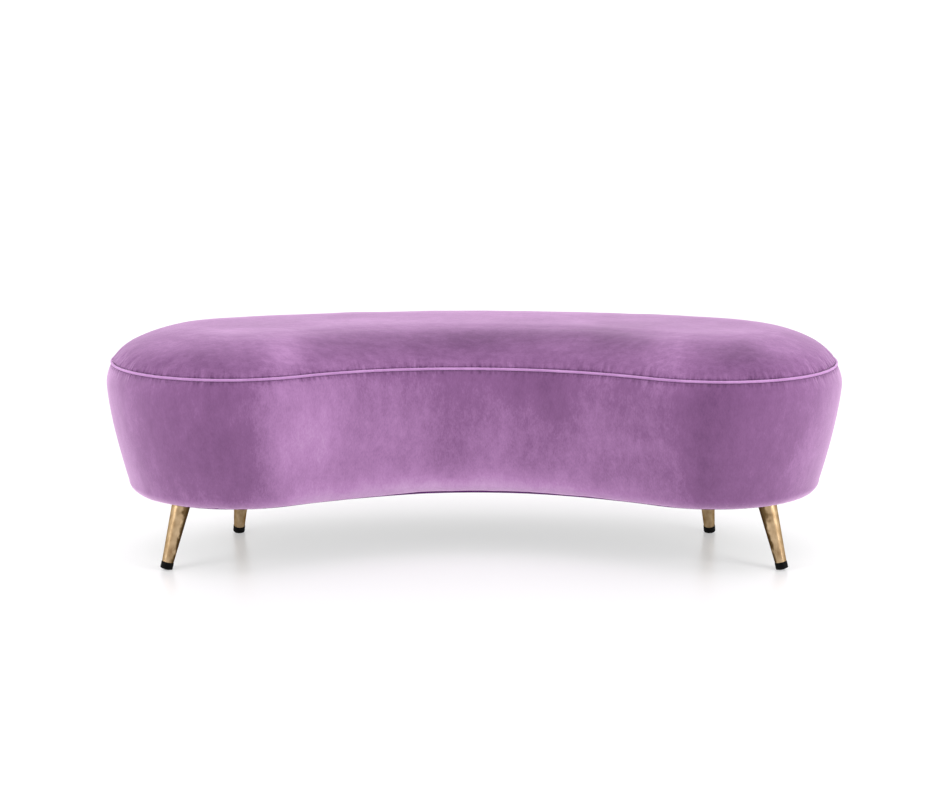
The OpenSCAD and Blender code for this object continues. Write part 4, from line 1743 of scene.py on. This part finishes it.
@dataclass
class SplayedLegs:
    """Four tapered brass legs with rubber tips."""

    plan: KidneyPlan
    rows: tuple[LegRow, ...] = (
        LegRow("front", 76 * MM, -55, -30, 0), LegRow("rear", 165 * MM, 83, 65, 140))
    splay: float = math.radians(15.7)
    top_d: float = 37.6 * MM
    end_d: float = 23.4 * MM
    wall: float = 1.5 * MM
    lip: float = 0.35 * MM
    tip_d: float = 25 * MM
    tip_h: float = 16 * MM
    tip_edge: float = 2 * MM
    tip_bead: float = 1 * MM
    dome_r: float = 28 * MM
    worn_flat: float = 0.9 * MM
    plug_l: float = 14 * MM
    plug_gap: float = 0.2 * MM
    turns: int = 96

    @cached_property
    def top_z(self) -> float:
        """Height of the mitred tops."""
        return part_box("leg_front_left")[1].z

    def build(self) -> None:
        """Build each leg and its tip."""
        for row in self.rows:
            for side in Side:
                place = f"{row.name}_{side.name.lower()}"
                tube = self.turned(f"brass_leg_{place}", self.tube_profile(), row, side)
                self.trim(tube, self.top_z, 1, bmesh.ops.bridge_loops, 35)
                finish_piece(tube, Look.BRASS, "brass", f"leg_{place}")
                tip = self.turned(f"rubber_tip_{place}", self.tip_profile(), row, side)
                self.trim(tip, 0, -1, bmesh.ops.holes_fill, 50)
                finish_piece(tip, Look.RUBBER, "rubber", f"tip_{place}")

    def stand(self, row: LegRow, side: Side) -> Matrix:
        """Matrix that puts an upright leg on the origin in its place.

        Args:
            row: Its pair.
            side: Its side.

        Returns:
            The matrix.
        """
        r = self.plan.end_r - row.inset
        bearing, turn = math.radians(row.bearing), math.radians(row.turn)
        reach = self.top_z * math.tan(self.splay)
        x = self.plan.end_x + r * math.cos(bearing) + reach * math.cos(turn)
        y = self.plan.end_y + r * math.sin(bearing) + reach * math.sin(turn)
        heading = turn if side is Side.RIGHT else math.pi - turn
        return (Matrix.Translation((side.value * x, y, 0)) @ Matrix.Rotation(heading, 4, "Z")
                @ Matrix.Rotation(-self.splay, 4, "Y"))

    def turned(self, name: str, profile: Sequence[Point], row: LegRow, side: Side) -> Piece:
        """Turn a profile round a leg's axis, map it, and put it in place.

        Args:
            name: The piece's name.
            profile: Points of radius and height along the axis.
            row: Its pair.
            side: Its side.

        Returns:
            The piece.
        """
        bm = bmesh.new()
        verts = [bm.verts.new((r, 0, z)) for r, z in profile]
        closed = profile[-1][0] > 0
        pairs = zip(verts, verts[1:] + verts[:closed])
        edges = [bm.edges.new(pair) for pair in pairs]
        bmesh.ops.spin(bm, geom=verts + edges, cent=(0, 0, 0), axis=(0, 0, 1), dvec=(0, 0, 0),
                       angle=2 * math.pi, steps=self.turns, use_merge=True)
        bmesh.ops.remove_doubles(bm, verts=bm.verts, dist=WELD / 2)
        self.map_wrap(bm, side.value * math.radians(row.screwed))
        bmesh.ops.transform(bm, matrix=self.stand(row, side), verts=bm.verts)
        return new_piece(name, bm)

    def map_wrap(self, bm: Mesh, screwed: float) -> None:
        """Map an upright turned mesh by turns round its axis and height.

        Args:
            bm: The mesh.
            screwed: How far round the axis the map is turned, in radians.
        """
        wrap = bm.loops.layers.uv.new("wrap")
        screw = Matrix.Rotation(screwed, 2)
        for face in bm.faces:
            middle = screw @ face.calc_center_median().xy
            seam = math.atan2(middle.y, middle.x)
            for loop in face.loops:
                spot = screw @ loop.vert.co.xy
                turn = math.atan2(spot.y, spot.x)
                turn += round((seam - turn) / (2 * math.pi)) * 2 * math.pi
                loop[wrap].uv = (turn / (2 * math.pi), loop.vert.co.z)

    def trim(self, piece: Piece, z: float, facing: int, close: Callable[..., object],
             sharp: float) -> None:
        """Cut a piece level, close the cut and mark its sharp edges.

        Args:
            piece: The piece.
            z: Height of the cut.
            facing: 1 where the part above goes, -1 where the part below goes.
            close: The mesh operator that closes the cut.
            sharp: The angle between faces past which an edge is sharp, in degrees.
        """
        with reworked(piece) as bm:
            cut = bmesh.ops.bisect_plane(
                bm, geom=[*bm.verts, *bm.edges, *bm.faces], plane_co=(0, 0, z),
                plane_no=(0, 0, facing), clear_outer=True)
            rims = [part for part in cut["geom_cut"] if isinstance(part, bmesh.types.BMEdge)]
            close(bm, edges=rims)
            bmesh.ops.recalc_face_normals(bm, faces=bm.faces)
        piece.data.set_sharp_from_angle(angle=math.radians(sharp))

    def tube_profile(self) -> list[Point]:
        """Tapered tube with a soft lower lip, longer than its level cut at the top.

        Returns:
            Points of radius and height, from its inner lower edge outwards and up.
        """
        length = self.top_z / math.cos(self.splay)
        slope = (self.top_d - self.end_d) / 2 / (length - self.tip_h)
        over = length + self.top_d
        low, lip = self.tip_h, self.lip
        r_end, r_over = self.end_d / 2, self.end_d / 2 + slope * (over - low)
        return [(r_end - self.wall, low), (r_end - lip, low),
                (r_end - 0.3 * lip, low + 0.3 * lip), (r_end, low + lip), (r_over, over),
                (r_over - self.wall, over)]

    def tip_profile(self) -> list[Point]:
        """Rubber tip with a domed underside, a rounded shoulder and a plug in the tube.

        Returns:
            Points of radius and height, from the middle of the dome to that of the plug.
        """
        edge, bead, r = self.tip_edge, self.tip_bead, self.tip_d / 2
        dome_z = (self.dome_r - self.worn_flat) / math.cos(self.splay)
        last = math.degrees(math.asin((r - edge) / self.dome_r))
        dome = round_points((0, dome_z), self.dome_r, -90, last - 90, 10)
        heel = round_points((r - edge, dome[-1][1] + edge), edge, -90, 0, 5)[1:]
        shoulder = round_points((r - bead, self.tip_h - bead), bead, 0, 90, 4)
        plug_r, plug_z = self.end_d / 2 - self.wall - self.plug_gap, self.tip_h + self.plug_l
        plug = [(plug_r, self.tip_h), (plug_r, plug_z), (0, plug_z)]
        return dome + heel + shoulder + plug


@dataclass
class SpringWebbing:
    """Woven straps under the felt, folded down and stapled on the frame at their ends."""

    strap_t: float = 2 * MM
    stapled: float = 30 * MM
    ease: float = 12 * MM
    selvedge: float = 0.8 * MM
    step: float = 12 * MM
    across: int = 7
    thick_and_thin: float = 0.1 * MM

    def build(self) -> None:
        """Build the straps of both webbing nodes."""
        for node, along in (("cross_webbing", 1), ("long_webbing", 0)):
            bm = bmesh.new()
            for low, high in self.strap_boxes(node):
                bend_grid(bm, self.strap(low, high, along))
            straps = new_piece(f"{node}_straps", bm)
            push(straps, self.thick_and_thin * rough(coords_of(straps), (260, 260, 1), 2.1))
            finish_piece(straps, Look.WEBBING, "webbing", node)

    def strap_boxes(self, node: str) -> list[tuple[np.ndarray, np.ndarray]]:
        """Find the box of each strap of a CAD node.

        Args:
            node: The node's name.

        Returns:
            Low and high corners, in order.
        """
        bm = bmesh.new()
        bm.from_mesh(frame["nodes"][node].data)
        bmesh.ops.remove_doubles(bm, verts=bm.verts, dist=WELD)
        left, boxes = set(bm.verts), []
        while left:
            strap, edge_verts = set(), [left.pop()]
            while edge_verts:
                vert = edge_verts.pop()
                strap.add(vert)
                beside = {edge.other_vert(vert) for edge in vert.link_edges} & left
                left -= beside
                edge_verts.extend(beside)
            corners = np.array([vert.co for vert in strap])
            boxes.append((corners.min(axis=0), corners.max(axis=0)))
        bm.free()
        return sorted(boxes, key=lambda box: tuple(box[0]))

    def strap(self, low: np.ndarray, high: np.ndarray, along: int) -> np.ndarray:
        """Places of one strap's rings, from one closed end to the other.

        Args:
            low: Low corner of its box.
            high: High corner of its box.
            along: The axis that it runs along.

        Returns:
            Places in space by ring, point and axis.
        """
        across = 1 - along
        count = round((high[along] - low[along]) / self.step)
        places = np.linspace(low[along], high[along], count + 1)
        stations = places[[0, *range(count + 1), count]]
        from_end = np.minimum(stations - low[along], high[along] - stations)
        share = np.clip((from_end - self.stapled) / self.ease, 0, 1)
        bottom = low[2] + (high[2] - self.strap_t - low[2]) * share**2 * (3 - 2 * share)
        half = (high[across] - low[across]) / 2
        inner = np.linspace(self.selvedge - half, half - self.selvedge, self.across)
        offsets = np.concatenate([[-half], inner, [half], inner[::-1], [-half]])
        faces = np.ones(self.across)
        sides = np.concatenate([[0], faces, [0], -faces, [0]])
        thick = np.ones(len(stations))
        thick[[0, -1]] = 0
        middle, swell = (high[2] + bottom) / 2, (high[2] - bottom) / 2 * thick
        rings = np.zeros((len(stations), len(offsets), 3))
        rings[:, :, along] = stations[:, None]
        rings[:, :, across] = (low[across] + half + offsets)[None, :]
        rings[:, :, 2] = middle[:, None] + swell[:, None] * sides[None, :]
        return rings


@dataclass
class HiddenFrame:
    """The timber and fixings inside, which keep their CAD shapes."""

    lengthways: tuple[str, ...] = ("rail_", "block_")

    def build(self) -> None:
        """Dress every CAD node that still shows."""
        looks = {"beech": Look.BEECH_UP, "plywood": Look.PLYWOOD, "steel": Look.ZINC}
        slots = {part["node"]: part["material_slot"] for part in frame["record"]["subparts"]}
        for name, node in sorted(frame["nodes"].items()):
            if node.hide_render:
                continue
            across = name.startswith(self.lengthways)
            dress(node, Look.BEECH_ACROSS if across else looks[slots[name]])
            log.info("%s: CAD node in %s", name, slots[name])


@dataclass(frozen=True)
class Softbox:
    """Rectangular soft light.

    Args:
        name: Its name.
        place: Its place.
        width: Its width.
        height: Its height.
        power: Its power in watts.
    """

    name: str
    place: Place
    width: float
    height: float
    power: float

    def aim(self, target: Place) -> None:
        """Add the light to the scene and turn it to a target.

        Args:
            target: The place that it shines on.
        """
        lamp = bpy.data.lights.new(self.name, "AREA")
        lamp.shape = "RECTANGLE"
        lamp.size, lamp.size_y, lamp.energy = self.width, self.height, self.power
        light = bpy.data.objects.new(self.name, lamp)
        light.location = self.place
        ray = Vector(target) - Vector(self.place)
        light.rotation_euler = ray.to_track_quat("-Z", "Y").to_euler()
        bpy.context.scene.collection.objects.link(light)


@dataclass
class Studio:
    """Pale floor, soft lights and the camera, at the photograph's place and angle."""

    camera_place: Place = (0.0015, -3.885, 1.0487)
    camera_down: float = 0.192
    lens: float = 72.0
    film_w: float = 36.0
    floor_half: float = 30.0
    world_light: float = 1.2
    dark_room: float = 0.3
    lit: Place = (0, 0, 0.3)
    softboxes: tuple[Softbox, ...] = (
        Softbox("overhead_softbox", (0.0, -0.4, 2.8), 3.0, 1.4, 13),
        Softbox("left_softbox", (-2.6, -1.7, 1.1), 1.2, 1.8, 36),
        Softbox("right_softbox", (2.6, -1.7, 1.1), 1.2, 1.8, 46))

    def build(self) -> None:
        """Build the camera, the floor and the lights."""
        self.build_camera()
        self.build_floor()
        for softbox in self.softboxes:
            softbox.aim(self.lit)
        self.build_surround()

    def build_floor(self) -> None:
        """Level floor under the bench."""
        bm = bmesh.new()
        bmesh.ops.create_grid(bm, x_segments=4, y_segments=4, size=self.floor_half)
        floor = new_piece("studio_floor", bm, smooth=False)
        dress(floor, Look.FLOOR)

    def build_surround(self) -> None:
        """Pale surround, darker behind the camera."""
        world = bpy.data.worlds.new("studio_surround")
        bpy.context.scene.world = world
        bpy.context.scene.view_settings.view_transform = "Standard"
        world.use_nodes = True
        graph = NodeGraph(world.node_tree)
        depth = graph.add("SeparateXYZ", "Y", {0: graph.add("TexCoord", "Generated", {})})
        room = graph.add("MapRange", "Result", {
            "Value": depth, "From Min": -0.95, "From Max": -0.35, "To Min": self.dark_room,
            "To Max": 1})
        graph.fill(graph.tree.nodes["Background"], {"Strength": self.world_light, "Color": room})

    def build_camera(self) -> None:
        """Camera at its place."""
        data = bpy.data.cameras.new("product_camera")
        data.lens = self.lens
        data.sensor_width = self.film_w
        camera = bpy.data.objects.new("product_camera", data)
        camera.location = self.camera_place
        camera.rotation_euler = (RIGHT_ANGLE - self.camera_down, 0, 0)
        bpy.context.scene.collection.objects.link(camera)
        bpy.context.scene.camera = camera


def main() -> None:
    """Build the bench and its studio."""
    logging.basicConfig(level=logging.INFO, format="%(name)s: %(message)s", stream=sys.stdout)
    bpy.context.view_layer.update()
    plan = KidneyPlan()
    for assembly in (Upholstery(plan), SplayedLegs(plan), SpringWebbing(), HiddenFrame(),
                     Studio()):
        assembly.build()


if __name__ == "__main__":
    main()
